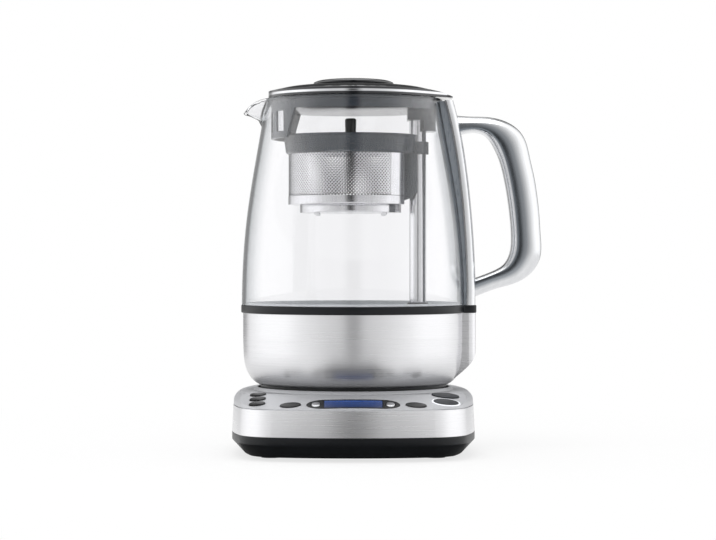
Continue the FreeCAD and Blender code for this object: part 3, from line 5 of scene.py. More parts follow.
import bmesh
import bpy
import numpy as np
from bpy.props import FloatProperty, FloatVectorProperty, IntProperty, PointerProperty
from bpy.types import Operator, Panel, PropertyGroup
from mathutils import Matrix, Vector


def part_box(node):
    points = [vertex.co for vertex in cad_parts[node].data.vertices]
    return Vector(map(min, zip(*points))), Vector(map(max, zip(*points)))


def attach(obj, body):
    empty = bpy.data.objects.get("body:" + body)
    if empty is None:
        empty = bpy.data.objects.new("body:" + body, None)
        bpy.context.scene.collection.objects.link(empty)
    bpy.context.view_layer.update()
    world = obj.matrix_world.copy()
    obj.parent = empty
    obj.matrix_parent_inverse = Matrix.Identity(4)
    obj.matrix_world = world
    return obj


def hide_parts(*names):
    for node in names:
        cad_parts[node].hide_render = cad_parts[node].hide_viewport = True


bl_info = {
    "name": "Automatic tea maker",
    "version": (1, 0, 0),
    "blender": (4, 5, 0),
    "location": "3D View > Sidebar > Tea maker",
    "description": "Builds the visible pieces, finishes and studio of an automatic tea maker",
    "category": "Object",
}

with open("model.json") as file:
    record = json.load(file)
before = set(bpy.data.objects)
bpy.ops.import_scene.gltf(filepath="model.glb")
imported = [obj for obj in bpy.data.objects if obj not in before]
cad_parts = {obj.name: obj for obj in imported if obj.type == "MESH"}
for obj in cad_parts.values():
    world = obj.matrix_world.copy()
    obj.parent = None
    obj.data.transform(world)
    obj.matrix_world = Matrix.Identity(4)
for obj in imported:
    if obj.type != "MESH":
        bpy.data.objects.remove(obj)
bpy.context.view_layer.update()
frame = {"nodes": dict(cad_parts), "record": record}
SLOTS = {part["node"]: part["material_slot"] for part in frame["record"]["subparts"]}
MM = 0.001


# ---- colours and nodes ----------------------------------------------------------------------
def linear(code):
    """sRGB hex code to the linear colour that shaders use."""
    channels = [int(code[i:i + 2], 16) / 255 for i in (1, 3, 5)]
    return [c / 12.92 if c <= 0.04045 else ((c + 0.055) / 1.055) ** 2.4 for c in channels] + [1.0]


def node(tree, kind, settings=None, links=None):
    """Adds a node, sets its fields and sockets, and links the sockets that read another node."""
    made = tree.nodes.new(kind)
    for key, value in (settings or {}).items():
        if isinstance(key, int) or key in made.inputs:
            made.inputs[key].default_value = value
        else:
            setattr(made, key, value)
    for key, source in (links or {}).items():
        tree.links.new(source, made.inputs[key])
    return made


def surface(name, code, metallic, roughness, **sockets):
    """A material with one Principled shader, whose even values stand on its own sockets."""
    material = bpy.data.materials.new(name)
    material.use_nodes = True
    shader = material.node_tree.nodes["Principled BSDF"]
    shader.inputs["Base Color"].default_value = linear(code)
    shader.inputs["Metallic"].default_value = metallic
    shader.inputs["Roughness"].default_value = roughness
    for key, value in sockets.items():
        shader.inputs[key.replace("_", " ")].default_value = value
    return material


def risen(tree, axis, low, high):
    """Goes from 0 to 1 along one axis of the piece, between two places in metres."""
    place = node(tree, "ShaderNodeTexCoord")
    axes = node(tree, "ShaderNodeSeparateXYZ", {}, {0: place.outputs["Object"]})
    return node(tree, "ShaderNodeMapRange", {1: low, 2: high}, {0: axes.outputs[axis]}).outputs[0]


def ramped(tree, source, stops, tint=(1.0, 1.0, 1.0)):
    """A colour ramp of (position, brightness) stops; each brightness multiplies the tint."""
    ramp = node(tree, "ShaderNodeValToRGB", {}, {0: source})
    for index, (spot, bright) in enumerate(stops):
        stop = ramp.color_ramp.elements[index] if index < 2 else ramp.color_ramp.elements.new(spot)
        stop.position = spot
        stop.color = [channel * bright for channel in tint] + [1.0]
    return ramp.outputs[0]


def noise(tree, size, **settings):
    """Noise whose grains are size mm long along X, Y and Z."""
    place = node(tree, "ShaderNodeTexCoord")
    scaled = node(tree, "ShaderNodeMapping", {"Scale": [1 / (MM * s) for s in size]},
                  {"Vector": place.outputs["Object"]})
    made = node(tree, "ShaderNodeTexNoise", {"Scale": 1.0, **settings}, {"Vector": scaled.outputs[0]})
    return made.outputs[0]


def embossed(material, source, height):
    """Raises a material's surface by up to height mm, where source is 1."""
    tree = material.node_tree
    relief = node(tree, "ShaderNodeBump", {"Strength": 1.0, "Distance": height * MM}, {"Height": source})
    tree.links.new(relief.outputs[0], tree.nodes["Principled BSDF"].inputs["Normal"])


def grained(material, size, tone, dull, height=0.0):
    """Gives a material a grain: size is the grain's length in mm along X, Y and Z.

    tone and dull are how far colour and roughness stray, and height is the relief in mm. The real
    grain of moulds, paint and brushing is about 0.02 to 0.3 mm; no size here is under 0.45 mm,
    because a finer one wouldn't show.
    """
    tree = material.node_tree
    shader = tree.nodes["Principled BSDF"]
    colour = shader.inputs["Base Color"].default_value[:3]
    rough = shader.inputs["Roughness"].default_value
    source = noise(tree, size, Detail=3.0, Roughness=0.55)
    spread = node(tree, "ShaderNodeMapRange", {1: 0.3, 2: 0.7}, {0: source}).outputs[0]
    low = [c * (1 - tone) for c in colour] + [1.0]
    high = [min(1.0, c * (1 + tone)) for c in colour] + [1.0]
    blend = node(tree, "ShaderNodeMix", {"data_type": "RGBA", 6: low, 7: high}, {0: spread})
    tree.links.new(blend.outputs[2], shader.inputs["Base Color"])
    polish = node(tree, "ShaderNodeMapRange", {3: max(0.0, rough - dull), 4: min(1.0, rough + dull)},
                  {0: spread})
    tree.links.new(polish.outputs[0], shader.inputs["Roughness"])
    if height:
        embossed(material, source, height)
    return material


# ---- metals ---------------------------------------------------------------------------------
FOOT_SHADE = (46.0, 70.0)   # mm above the counter: painted shade on the bowl's steel lifts between these
LID_HIGHLIGHT_BAND = (246.6, 249.8)   # mm above the counter: the painted highlight band at the lid's edge, made as near-white metal, with its soft sides


def brushed_stainless():
    """Stainless sheet brushed round the body: long level scratches that draw the light out.

    The scratches are 0.45 mm wide instead of about 0.1 mm, so that they show.
    """
    material = surface("brushed stainless steel", "#ebebed", 1.0, 0.3, Anisotropic=0.85,
                       Anisotropic_Rotation=0.25)
    return grained(material, (70, 70, 0.45), tone=0.035, dull=0.04, height=0.0012)


def bowl_steel_painted_shade():
    """The brushed bowl, with painted shade: its steel colour darkens towards the foot."""
    material = brushed_stainless()
    material.name = "brushed stainless steel with painted shade at the foot"
    tree = material.node_tree
    shader = tree.nodes["Principled BSDF"]
    height = risen(tree, "Z", *(place * MM for place in FOOT_SHADE))
    # painted shade: the steel's colour is multiplied darker towards the bowl's foot
    painted_foot_shade = ramped(tree, height, ((0.0, 0.42), (0.2, 0.52), (0.45, 0.78), (0.75, 0.93), (1.0, 0.97)))
    steel = shader.inputs["Base Color"].links[0].from_socket
    tint = node(tree, "ShaderNodeMix", {"data_type": "RGBA", "blend_type": "MULTIPLY", 0: 1.0},
                {6: steel, 7: painted_foot_shade})
    tree.links.new(tint.outputs[2], shader.inputs["Base Color"])
    return material


def satin_stainless():
    """Cast and polished stainless, dulled by hand: soft clear mirror with faint streaks."""
    material = surface("satin stainless steel", "#dedfe1", 1.0, 0.2)
    return grained(material, (4, 4, 30), tone=0.04, dull=0.04)


def handle_steel_painted_reflection():
    """Satin stainless with a painted reflection: darker and bluer in a band along the handle's inner flank.
    """
    material = satin_stainless()
    material.name = "satin stainless steel with a blasted flank"
    tree = material.node_tree
    shader = tree.nodes["Principled BSDF"]
    across = node(tree, "ShaderNodeAttribute", {"attribute_name": "across"})
    # painted reflection: a dark blue-grey band along the inner flank stands in for the jug mirrored in the
    # steel
    flank = ramped(tree, across.outputs["Fac"], ((0.0, 1.0), (0.14, 0.95), (0.19, 0.13), (0.34, 0.2),
                                                 (0.48, 0.32), (0.6, 0.75), (0.7, 1.0)))
    steel = shader.inputs["Base Color"].links[0].from_socket
    tint = node(tree, "ShaderNodeMix", {"data_type": "RGBA", 6: linear("#5d666f")}, {7: steel})
    tree.links.new(flank, tint.inputs[0])
    tree.links.new(tint.outputs[2], shader.inputs["Base Color"])
    return material


def polished_stainless():
    """Drawn tube and pressed sheet, polished: a clear mirror with a trace of drawing lines."""
    material = surface("polished stainless steel", "#dcdcde", 1.0, 0.1)
    return grained(material, (1.5, 1.5, 40), tone=0.03, dull=0.03)


def sleeve_inside_painted_shade():
    """Inside of the sleeve: dark brown-grey steel, painted shade so that the holes look dark."""
    material = surface("dark stainless steel painted as shade", "#2b2927", 0.5, 0.5)
    return grained(material, (2.5, 2.5, 2.5), tone=0.15, dull=0.1)


def plated_brass():
    """Pressed brass, plated: warm and slightly streaky from wiping contacts."""
    material = surface("plated brass", "#c9a35c", 1.0, 0.25)
    return grained(material, (6, 0.5, 0.5), tone=0.08, dull=0.08, height=0.002)


def zinc_plate():
    """Bright zinc on steel: cool grey with a crystalline mottle."""
    material = surface("zinc-plated steel", "#b9bdc4", 1.0, 0.35)
    return grained(material, (1.2, 1.2, 1.2), tone=0.12, dull=0.12, height=0.004)


def nickel_plate():
    """Nickel on sintered magnet: faintly warm, slightly pitted."""
    material = surface("nickel-plated magnet", "#b8b6b0", 1.0, 0.28)
    return grained(material, (0.8, 0.8, 0.8), tone=0.06, dull=0.1, height=0.006)


def cast_aluminium():
    """Die-cast aluminium: dull grey with flow marks and a sandy skin."""
    material = surface("die-cast aluminium", "#a9abae", 1.0, 0.5)
    return grained(material, (2.5, 2.5, 2.5), tone=0.1, dull=0.12, height=0.02)


# ---- plastics and rubber --------------------------------------------------------------------
def silver_paint():
    """Metallic satin paint on ABS: fine sparkle and a soft wide highlight."""
    material = surface("satin silver painted ABS", "#c6c7ca", 0.45, 0.4)
    return grained(material, (0.6, 0.6, 0.6), tone=0.07, dull=0.05, height=0.003)


def chromed_plastic():
    """Chrome plating on ABS: mirror bright, with the gentle waviness of a moulding."""
    material = surface("chromed ABS", "#dedfe2", 1.0, 0.08)
    return grained(material, (3, 3, 3), tone=0.03, dull=0.03, height=0.002)


def light_ring():
    """Opal polycarbonate ring round the start button, softly lit from below."""
    material = surface("opal polycarbonate", "#f4f5f7", 0.0, 0.25, Emission_Color=linear("#f2f6ff"),
                       Emission_Strength=0.35)
    return grained(material, (2, 2, 2), tone=0.03, dull=0.05)


def slate_nylon():
    """Moulded nylon in slate grey: fine even texture and a satin highlight."""
    material = surface("slate moulded nylon", "#262e37", 0.0, 0.25, Specular_IOR_Level=0.55,
                       Coat_Weight=0.45, Coat_Roughness=0.1)
    return grained(material, (0.8, 0.8, 0.8), tone=0.05, dull=0.05, height=0.004)


def rail_nylon():
    """Glass-filled nylon in mid grey: satin, with a fine flow grain along the rail."""
    material = surface("mid-grey glass-filled nylon", "#878d94", 0.2, 0.3)
    return grained(material, (0.8, 0.8, 6), tone=0.06, dull=0.05, height=0.004)


def dark_polycarbonate():
    """Tinted polycarbonate, moulded in a polished tool: deep and glossy."""
    material = surface("dark polycarbonate", "#0b0e14", 0.0, 0.12, Coat_Weight=0.7, Coat_Roughness=0.05)
    return grained(material, (12, 12, 12), tone=0.1, dull=0.03, height=0.004)


def lid_plastic_painted_highlight():
    """The lid's polycarbonate with a painted highlight: a thin near-white metallic band at a fixed height on
    its edge.
    """
    material = dark_polycarbonate()
    material.name = "dark polycarbonate with a painted highlight band"
    tree = material.node_tree
    shader = tree.nodes["Principled BSDF"]
    height = risen(tree, "Z", *(place * MM for place in LID_HIGHLIGHT_BAND))
    # painted highlight: a band at fixed heights on the lid turns near-white and metallic
    line = ramped(tree, height, ((0.0, 0.0), (0.18, 0.0), (0.34, 1.0), (0.66, 1.0), (0.84, 0.0)))
    plastic = shader.inputs["Base Color"].links[0].from_socket
    tint = node(tree, "ShaderNodeMix", {"data_type": "RGBA", 7: linear("#e4e5e8")}, {0: line, 6: plastic})
    tree.links.new(tint.outputs[2], shader.inputs["Base Color"])
    tree.links.new(line, shader.inputs["Metallic"])
    return material


def soft_dark_plastic():
    """Fine spark-eroded texture on dark ABS: matt, with a soft grey bloom."""
    material = surface("textured dark ABS", "#191c22", 0.0, 0.42)
    return grained(material, (0.5, 0.5, 0.5), tone=0.12, dull=0.08, height=0.008)


def black_plastic():
    """Black ABS from a satin tool: nearly black, with a broad sheen."""
    material = surface("black ABS", "#0c0f13", 0.0, 0.36, Specular_IOR_Level=0.3)
    return grained(material, (0.7, 0.7, 0.7), tone=0.12, dull=0.06, height=0.004)


def gloss_black():
    """Black ABS from a polished tool: small sharp reflections."""
    material = surface("gloss black ABS", "#08090b", 0.0, 0.08, Specular_IOR_Level=0.35)
    return grained(material, (5, 5, 5), tone=0.15, dull=0.03, height=0.002)


def white_acetal():
    """Natural acetal: milky white, waxy, with a little light under the skin."""
    material = surface("white acetal", "#e2e2de", 0.0, 0.38, Subsurface_Weight=0.08)
    return grained(material, (2, 2, 2), tone=0.03, dull=0.05, height=0.003)


def soft_rubber():
    """Moulded rubber: black, matt, faintly dusty."""
    material = surface("moulded rubber", "#131416", 0.0, 0.75)
    return grained(material, (0.6, 0.6, 0.6), tone=0.2, dull=0.1, height=0.01)


def milky_silicone():
    """Food-grade silicone moulded without pigment: pale, milky and satin."""
    material = surface("milky silicone", "#d6dadd", 0.0, 0.35, Specular_IOR_Level=0.6)
    return grained(material, (4, 4, 4), tone=0.05, dull=0.06)


def grey_silicone():
    """Food-grade silicone: grey, with a soft skin-like sheen."""
    material = surface("grey silicone", "#4a4f55", 0.0, 0.5, Sheen_Weight=0.2)
    return grained(material, (0.7, 0.7, 0.7), tone=0.08, dull=0.06, height=0.005)


def green_board():
    """Glass-fibre board under green solder mask: fine weave and a low gloss."""
    material = surface("glass-fibre board", "#1d6a3a", 0.0, 0.35)
    return grained(material, (0.5, 0.5, 4), tone=0.25, dull=0.1, height=0.01)


# ---- glass and display ----------------------------------------------------------------------
PIXEL_COLUMN = 1.9635       # mm between the display's columns: real ones, 0.5 mm apart, wouldn't show
WAVE_LENGTH = math.tau / 20  # between the bands of a wave texture at scale 1


def borosilicate_glass():
    """Blown borosilicate: clear, IOR 1.47, with slow ripples, and painted shade that greys it where it is
    seen edge-on.

    Lamps shine through it.
    """
    tint = "#fafafb"
    material = surface("borosilicate glass", tint, 0.0, 0.0, IOR=1.47, Transmission_Weight=1.0)
    tree = material.node_tree
    shader = tree.nodes["Principled BSDF"]
    embossed(material, noise(tree, (28, 28, 60), Detail=1.0), 0.008)
    # painted shade: the colour greys where the glass is seen edge-on, standing in for its dark edges
    facing = node(tree, "ShaderNodeLayerWeight", {"Blend": 0.5})
    edge_shade = node(tree, "ShaderNodeMapRange", {1: 0.45, 2: 0.95}, {0: facing.outputs["Facing"]})
    body = node(tree, "ShaderNodeMix", {"data_type": "RGBA", 6: linear(tint), 7: linear("#b4bbc0")},
                {0: edge_shade.outputs[0]})
    tree.links.new(body.outputs[2], shader.inputs["Base Color"])
    film = node(tree, "ShaderNodeBsdfTransparent", {"Color": (0.96, 0.96, 0.965, 1.0)})
    path = node(tree, "ShaderNodeLightPath")
    mix = node(tree, "ShaderNodeMixShader", {},
               {0: path.outputs["Is Shadow Ray"], 1: shader.outputs[0], 2: film.outputs[0]})
    tree.links.new(mix.outputs[0], tree.nodes["Material Output"].inputs["Surface"])
    return material


def lit_display(shade, glow):
    """Backlit liquid crystal behind acrylic: blue, brighter along its upper half, in fine columns."""
    material = surface("backlit display", "#213e7a", 0.0, 0.12, Coat_Weight=0.6, Coat_Roughness=0.03)
    tree = material.node_tree
    shader = tree.nodes["Principled BSDF"]
    low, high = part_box("display_window")
    backlight = ramped(tree, risen(tree, "Y", low.y, high.y), (
        (0.0, 0.45), (0.16, 0.62), (0.45, 1.0), (0.72, 1.05), (0.8, 1.7), (0.88, 1.1), (1.0, 0.7)), shade[:3])
    place = node(tree, "ShaderNodeTexCoord")
    columns = node(tree, "ShaderNodeTexWave", {"wave_type": "BANDS", "bands_direction": "X",
                                               "Scale": WAVE_LENGTH / (PIXEL_COLUMN * MM)},
                   {"Vector": place.outputs["Object"]})
    pixels = node(tree, "ShaderNodeMix", {"data_type": "RGBA", "blend_type": "MULTIPLY", 0: 0.12},
                  {6: backlight, 7: columns.outputs[0]})
    tree.links.new(pixels.outputs[2], shader.inputs["Base Color"])
    tree.links.new(pixels.outputs[2], shader.inputs["Emission Color"])
    shader.inputs["Emission Strength"].default_value = glow
    return material


# ---- settings -------------------------------------------------------------------------------
class TeaMakerSizes(PropertyGroup):
    """Sizes that the new pieces use, in millimetres.

    The holes are spaced 2.4 mm apart instead of about 1.7 mm, and larger, so that they show.
    """

    hole_pitch: FloatProperty(
        name="Hole pitch", description="Level distance between the basket's holes", default=2.4, min=1.0)
    hole_radius: FloatProperty(
        name="Hole radius", description="Radius of each hole in the basket", default=0.6, min=0.2)
    sleeve_wall: FloatProperty(
        name="Sleeve wall", description="Thickness of the perforated sheet", default=0.4, min=0.1)
    glass_wall: FloatProperty(
        name="Glass wall", description="Thickness of the jug's wall", default=2.6, min=1.0)
    glass_columns: IntProperty(
        name="Glass columns", description="Facets round the jug", default=192, min=48)


class TeaMakerLook(PropertyGroup):
    """Colours and light levels."""

    display_blue: FloatVectorProperty(
        name="Display", description="Colour of the lit display", subtype="COLOR", size=4,
        default=linear("#213e7a"), min=0.0, max=1.0)
    display_glow: FloatProperty(
        name="Display glow", description="How strongly the display shines", default=0.12, min=0.0)
    room_light: FloatProperty(
        name="Room light", description="Strength of the studio's even light", default=0.95, min=0.0)


# ---- modelling tools ------------------------------------------------------------------------
WELD = 1e-6                 # metres: closer points are one point
FLAT_ANGLE = 0.3            # degrees: facets that meet flatter than this are one face
EDGE_ANGLE = 34.0           # degrees: sharper edges are rounded
EDGE_SEGMENTS = 3


def alone(piece):
    """Makes a piece the only selected and active object."""
    bpy.ops.object.select_all(action="DESELECT")
    piece.select_set(True)
    bpy.context.view_layer.objects.active = piece


def started(name, add, **options):
    """A primitive, alone selected, whose object sits at the origin."""
    bpy.ops.object.select_all(action="DESELECT")
    add(**options)
    piece = bpy.context.object
    bpy.ops.object.transform_apply(location=True, rotation=True, scale=True)
    piece.name = name
    piece.data.name = name
    return piece


def applied(piece, kind, **settings):
    """Adds a modifier and applies it."""
    alone(piece)
    modifier = piece.modifiers.new(kind.lower(), kind)
    for key, value in settings.items():
        setattr(modifier, key, value)
    bpy.ops.object.modifier_apply(modifier=modifier.name)
    return piece


def stacked(name, rings, join_ends=False):
    """A skin through rings of points in mm, all with one count: each ring is extruded from the last.

    join_ends welds the last ring to the first, as round a tube wall. Otherwise both end rings are capped.
    """
    piece = started(name, bpy.ops.mesh.primitive_circle_add, vertices=len(rings[0]), radius=MM)
    order = piece.data.attributes.new("place_in_ring", "INT", "POINT")
    order.data.foreach_set("value", range(len(rings[0])))
    bpy.ops.object.mode_set(mode="EDIT")
    bpy.ops.mesh.select_mode(type="VERT")
    for index, ring in enumerate(rings):
        if index:
            bpy.ops.mesh.extrude_region_move()
        mesh = bmesh.from_edit_mesh(piece.data)
        layer = mesh.verts.layers.int["place_in_ring"]
        for vert in mesh.verts:
            if vert.select:
                vert.co = Vector(ring[vert[layer]]) * MM
        if index in (0, len(rings) - 1) and not join_ends:
            bpy.ops.mesh.edge_face_add()
            bmesh.update_edit_mesh(piece.data)
    if join_ends:
        bpy.ops.mesh.select_all(action="SELECT")
        bpy.ops.mesh.remove_doubles(threshold=WELD)
    bpy.ops.mesh.select_all(action="SELECT")
    bpy.ops.mesh.normals_make_consistent(inside=False)
    bpy.ops.object.mode_set(mode="OBJECT")
    piece.data.attributes.remove(piece.data.attributes["place_in_ring"])
    return piece


def smooth(piece, degrees=32.0):
    """Smooth shading, except over edges sharper than the angle."""
    alone(piece)
    bpy.ops.object.shade_smooth_by_angle(angle=math.radians(degrees))
    return piece


def settled(piece, material, body, slot, *nodes):
    """Gives a finished piece its material (slot is not used), sets it on its body and lets it stand for
    nodes.
    """
    if not piece.data.materials:
        piece.data.materials.append(material)
    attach(piece, body)
    if nodes:
        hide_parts(*nodes)
    return piece


def dressed(node_name, name, material, body, bevel):
    """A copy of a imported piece, welded and with its hard edges rounded by bevel mm, shown in its place."""
    mesh = frame["nodes"][node_name].data.copy()
    mesh.materials.clear()
    mesh.name = name
    piece = bpy.data.objects.new(name, mesh)
    bpy.context.scene.collection.objects.link(piece)
    alone(piece)
    bpy.ops.object.mode_set(mode="EDIT")
    bpy.ops.mesh.select_all(action="SELECT")
    bpy.ops.mesh.customdata_custom_splitnormals_clear()
    bpy.ops.mesh.remove_doubles(threshold=WELD)
    bpy.ops.mesh.dissolve_limited(angle_limit=math.radians(FLAT_ANGLE))
    bpy.ops.object.mode_set(mode="OBJECT")
    applied(piece, "BEVEL", width=bevel * MM, segments=EDGE_SEGMENTS, limit_method="ANGLE",
            angle_limit=math.radians(EDGE_ANGLE))
    smooth(piece)
    return settled(piece, material, body, SLOTS[node_name], node_name)


def natural_curve(points):
    """Smooth function of one variable through (position, value) points: a natural cubic spline."""
    x = np.array([p[0] for p in points])
    y = np.array([p[1] for p in points])
    h = np.diff(x)
    count = len(x)
    rows = np.eye(count)
    right = np.zeros(count)
    for i in range(1, count - 1):
        rows[i, i - 1:i + 2] = h[i - 1], 2 * (h[i - 1] + h[i]), h[i]
        right[i] = 6 * ((y[i + 1] - y[i]) / h[i] - (y[i] - y[i - 1]) / h[i - 1])
    bend = np.linalg.solve(rows, right)

    def value(at):
        i = int(min(max(np.searchsorted(x, at) - 1, 0), count - 2))
        a = (x[i + 1] - at) / h[i]
        b = (at - x[i]) / h[i]
        curve = ((a ** 3 - a) * bend[i] + (b ** 3 - b) * bend[i + 1]) * h[i] ** 2 / 6
        return float(a * y[i] + b * y[i + 1] + curve)

    return value


# ---- jug glass ------------------------------------------------------------------------------
GLASS_SIDE = (              # height, outer radius in mm
    (102.0, 78.2), (125.95, 77.6), (167.96, 74.0), (209.98, 67.2), (245.4, 61.0))
GLASS_LOW = GLASS_SIDE[0][0]
RIM_Z = GLASS_SIDE[-1][0]
GLASS_ROWS = 48             # rows of points on each wall
ROW_CROWDING = 1.7          # over 1, the rows lie closer together towards the rim
RIM_PROFILE = (             # share of the way across the rim, height over its edges in wall thicknesses
    (0.12, -0.129), (0.32, -0.052), (0.5, -0.03), (0.68, -0.052), (0.88, -0.129))
SPOUT_TIP = Vector((-74.5, 0.0, 236.6))
SPOUT_ROOT = Vector((-50.0, 0.0, 243.0))
SPOUT_RADII = (2.6, 23.0)
SPOUT_WALL = 2.0
SPOUT_BLEND = 5.0           # how far the spout flows into the wall
SPOUT_TURN = 0.8            # radians from the spout's middle, past which the wall is plain
SPOUT_LOW = 205.0           # height under which the wall is plain
SPOUT_REACHES = (84.0, 50.0)  # from where to where its surface is looked for
SPOUT_SPREAD = 0.55         # share of the columns' spacing that is even
LIP_START = 58.0            # where the rim begins to fall towards the spout
LIP_ARC = (59.4278, 225.2312, 20.2194)  # centre's distance from the axis, its height, and radius
LIP_LOWEST = 230.0
SEARCH_STEP = 0.1


def spout_reach(height, angle, shrink):
    """How far the spout's cone stands from the jug's axis at a height; angle is 0 at the spout."""
    axis = SPOUT_ROOT - SPOUT_TIP
    length = axis.length
    axis.normalize()
    tip, root = (radius - shrink for radius in SPOUT_RADII)
    reach, nearest = SPOUT_REACHES
    while reach > nearest:
        spot = Vector((-reach * math.cos(angle), reach * math.sin(angle), height)) - SPOUT_TIP
        along = spot.dot(axis)
        if along < 0:
            inside = spot.length <= tip
        else:
            aside = math.sqrt(max(spot.length_squared - along ** 2, 0))
            inside = aside <= tip + (root - tip) * along / length
        if inside:
            return reach
        reach -= SEARCH_STEP
    return 0.0


def merged(a, b, blend):
    """The larger of two reaches, with a fillet where they are close."""
    close = max(blend - abs(a - b), 0) / blend
    return max(a, b) + close * close * blend / 4


def lip_height(reach):
    """Top edge of the glass at a distance from the axis: level, then curving down along the lip."""
    centre_x, centre_z, radius = LIP_ARC
    if reach <= LIP_START:
        return RIM_Z
    across = min(reach - centre_x, radius * 0.98)
    return min(RIM_Z, centre_z + math.sqrt(radius ** 2 - across ** 2))


def glass_column(wall, angle, thin, shrink):
    """One upright line of points on a wall of the jug, from its foot to the rim or the lip.

    thin and shrink are how far the wall and the spout stand back from their outer faces.
    """
    def reach(height):
        plain = wall(height) - thin
        if abs(angle) > SPOUT_TURN or height < SPOUT_LOW:
            return plain
        return merged(plain, spout_reach(height, angle, shrink), SPOUT_BLEND)

    top = RIM_Z
    while top > LIP_LOWEST and top > lip_height(reach(top)):
        top -= SEARCH_STEP
    column = []
    for row in range(GLASS_ROWS):
        share = 1 - (1 - row / (GLASS_ROWS - 1)) ** ROW_CROWDING
        height = GLASS_LOW + share * (top - GLASS_LOW)
        r = reach(height)
        column.append((-r * math.cos(angle), r * math.sin(angle), height))
    return column


def glass_jug(sizes):
    """The jug: an outer and an inner wall, a rim, and a spout drawn out of the wall."""
    wall = natural_curve(GLASS_SIDE)
    angles = []
    for column in range(sizes.glass_columns):
        t = 2 * column / sizes.glass_columns - 1
        angles.append(math.pi * (SPOUT_SPREAD * t + (1 - SPOUT_SPREAD) * t ** 3))
    outer = [glass_column(wall, angle, 0.0, 0.0) for angle in angles]
    inner = [glass_column(wall, angle, sizes.glass_wall, SPOUT_WALL) for angle in angles]
    rings = [[column[row] for column in outer] for row in range(GLASS_ROWS)]
    for share, rise in RIM_PROFILE:
        ring = []
        for a, b in zip(outer, inner):
            start, end = Vector(a[-1]), Vector(b[-1])
            spot = start.lerp(end, share)
            ring.append((spot.x, spot.y, spot.z + rise * (end - start).length))
        rings.append(ring)
    rings += [[column[row] for column in inner] for row in reversed(range(GLASS_ROWS))]
    rings.append(rings[0])
    return smooth(stacked("jug_glass", rings, join_ends=True), 50)


# ---- handle ---------------------------------------------------------------------------------
HANDLE_LINE = (             # x, z, half thickness, half width in mm, lean in degrees
    (70.0, 226.70, 7.65, 12.5, 90.0), (83.6, 227.79, 5.58, 11.8, 85.3),
    (97.2, 225.47, 7.74, 11.3, 52.3), (107.6, 216.79, 10.99, 11.0, 27.7),
    (112.6, 203.94, 10.73, 11.0, 9.7), (115.8, 190.59, 10.60, 11.0, 8.0),
    (118.1, 177.04, 10.51, 11.0, 6.1), (119.7, 163.39, 10.41, 11.0, 3.2),
    (120.6, 149.68, 10.41, 11.0, 0.1), (119.7, 135.99, 10.79, 11.0, -13.7),
    (112.0, 124.93, 8.96, 11.0, -31.1), (99.4, 119.42, 6.41, 11.2, -59.9),
    (86.5, 114.76, 6.20, 11.8, -69.7), (73.5, 110.20, 6.90, 12.5, -69.0))
HANDLE_OUTERMOST = 8        # station where the line turns back to the jug
HANDLE_ROOT_X = 81.4        # the lower arm ends behind the steel channel
HANDLE_WIDEST = -0.35       # share of the half thickness: the widest line lies towards the hand
HANDLE_STEPS = 120          # rings along the handle
HANDLE_POINTS = 48          # points round each ring
OUTER_POWER = 2 / 2.1       # nearly an ellipse outside
INNER_POWER = 2 / 3.2       # boxier towards the hand


def section_point(index):
    """A point of the handle's section, as shares of its half thickness and half width."""
    turn = math.tau * index / HANDLE_POINTS
    c, s = math.cos(turn), math.sin(turn)
    power = OUTER_POWER if c > 0 else INNER_POWER
    length = 1 - HANDLE_WIDEST if c > 0 else 1 + HANDLE_WIDEST
    reach = HANDLE_WIDEST + math.copysign(length * abs(c) ** power, c)
    return reach, math.copysign(abs(s) ** power, s)


def handle_ring(station):
    """The handle's section at a station: level-sided towards the hand, well rounded outside."""
    x, z, thick, wide, lean = station
    across = Vector((math.cos(math.radians(lean)), 0, math.sin(math.radians(lean))))
    ring = []
    for index in range(HANDLE_POINTS):
        reach, side = section_point(index)
        ring.append(Vector((x, 0, z)) + across * reach * thick + Vector((0, side * wide, 0)))
    return ring


def steel_handle():
    """D-handle swept through its stations. Its finish reads "across", 0 at the hand and 1 outside."""
    along = [0.0]
    for a, b in zip(HANDLE_LINE, HANDLE_LINE[1:]):
        along.append(along[-1] + math.hypot(b[0] - a[0], b[1] - a[1]))
    curves = [natural_curve([(t, spot[i]) for t, spot in zip(along, HANDLE_LINE)]) for i in range(5)]
    rings = []
    for step in range(HANDLE_STEPS + 1):
        at = along[-1] * step / HANDLE_STEPS
        station = [curve(at) for curve in curves]
        if at > along[HANDLE_OUTERMOST] and station[0] < HANDLE_ROOT_X:
            break
        rings.append(handle_ring(station))
    piece = smooth(stacked("handle_steel", rings), 50)
    across = piece.data.attributes.new("across", "FLOAT", "POINT")
    for index, spot in enumerate(across.data):
        spot.value = (1 + section_point(index % HANDLE_POINTS)[0]) / 2
    return piece


# ---- perforated sleeve ----------------------------------------------------------------------
BASKET_X = -2.0
SLEEVE_RADIUS = 43.2
SLEEVE_LOW = 177.8
SLEEVE_HIGH = 207.6
FLAT_X = 34.5
HOLES_END = 49.0            # degrees from the post's side where the holes stop
SEAM_GAP = 1.6              # degrees from there to the plain sheet
SEAM_STEPS = 8
HOLE_SIDES = 8


def on_wall(radius, turn, height):
    """A point at a radius from the basket's axis, in mm."""
    return BASKET_X + radius * math.cos(turn), radius * math.sin(turn), height


def bearing(vert):
    """Direction in which a vertex lies from its hole's middle."""
    return math.atan2(vert.co.y, vert.co.x)


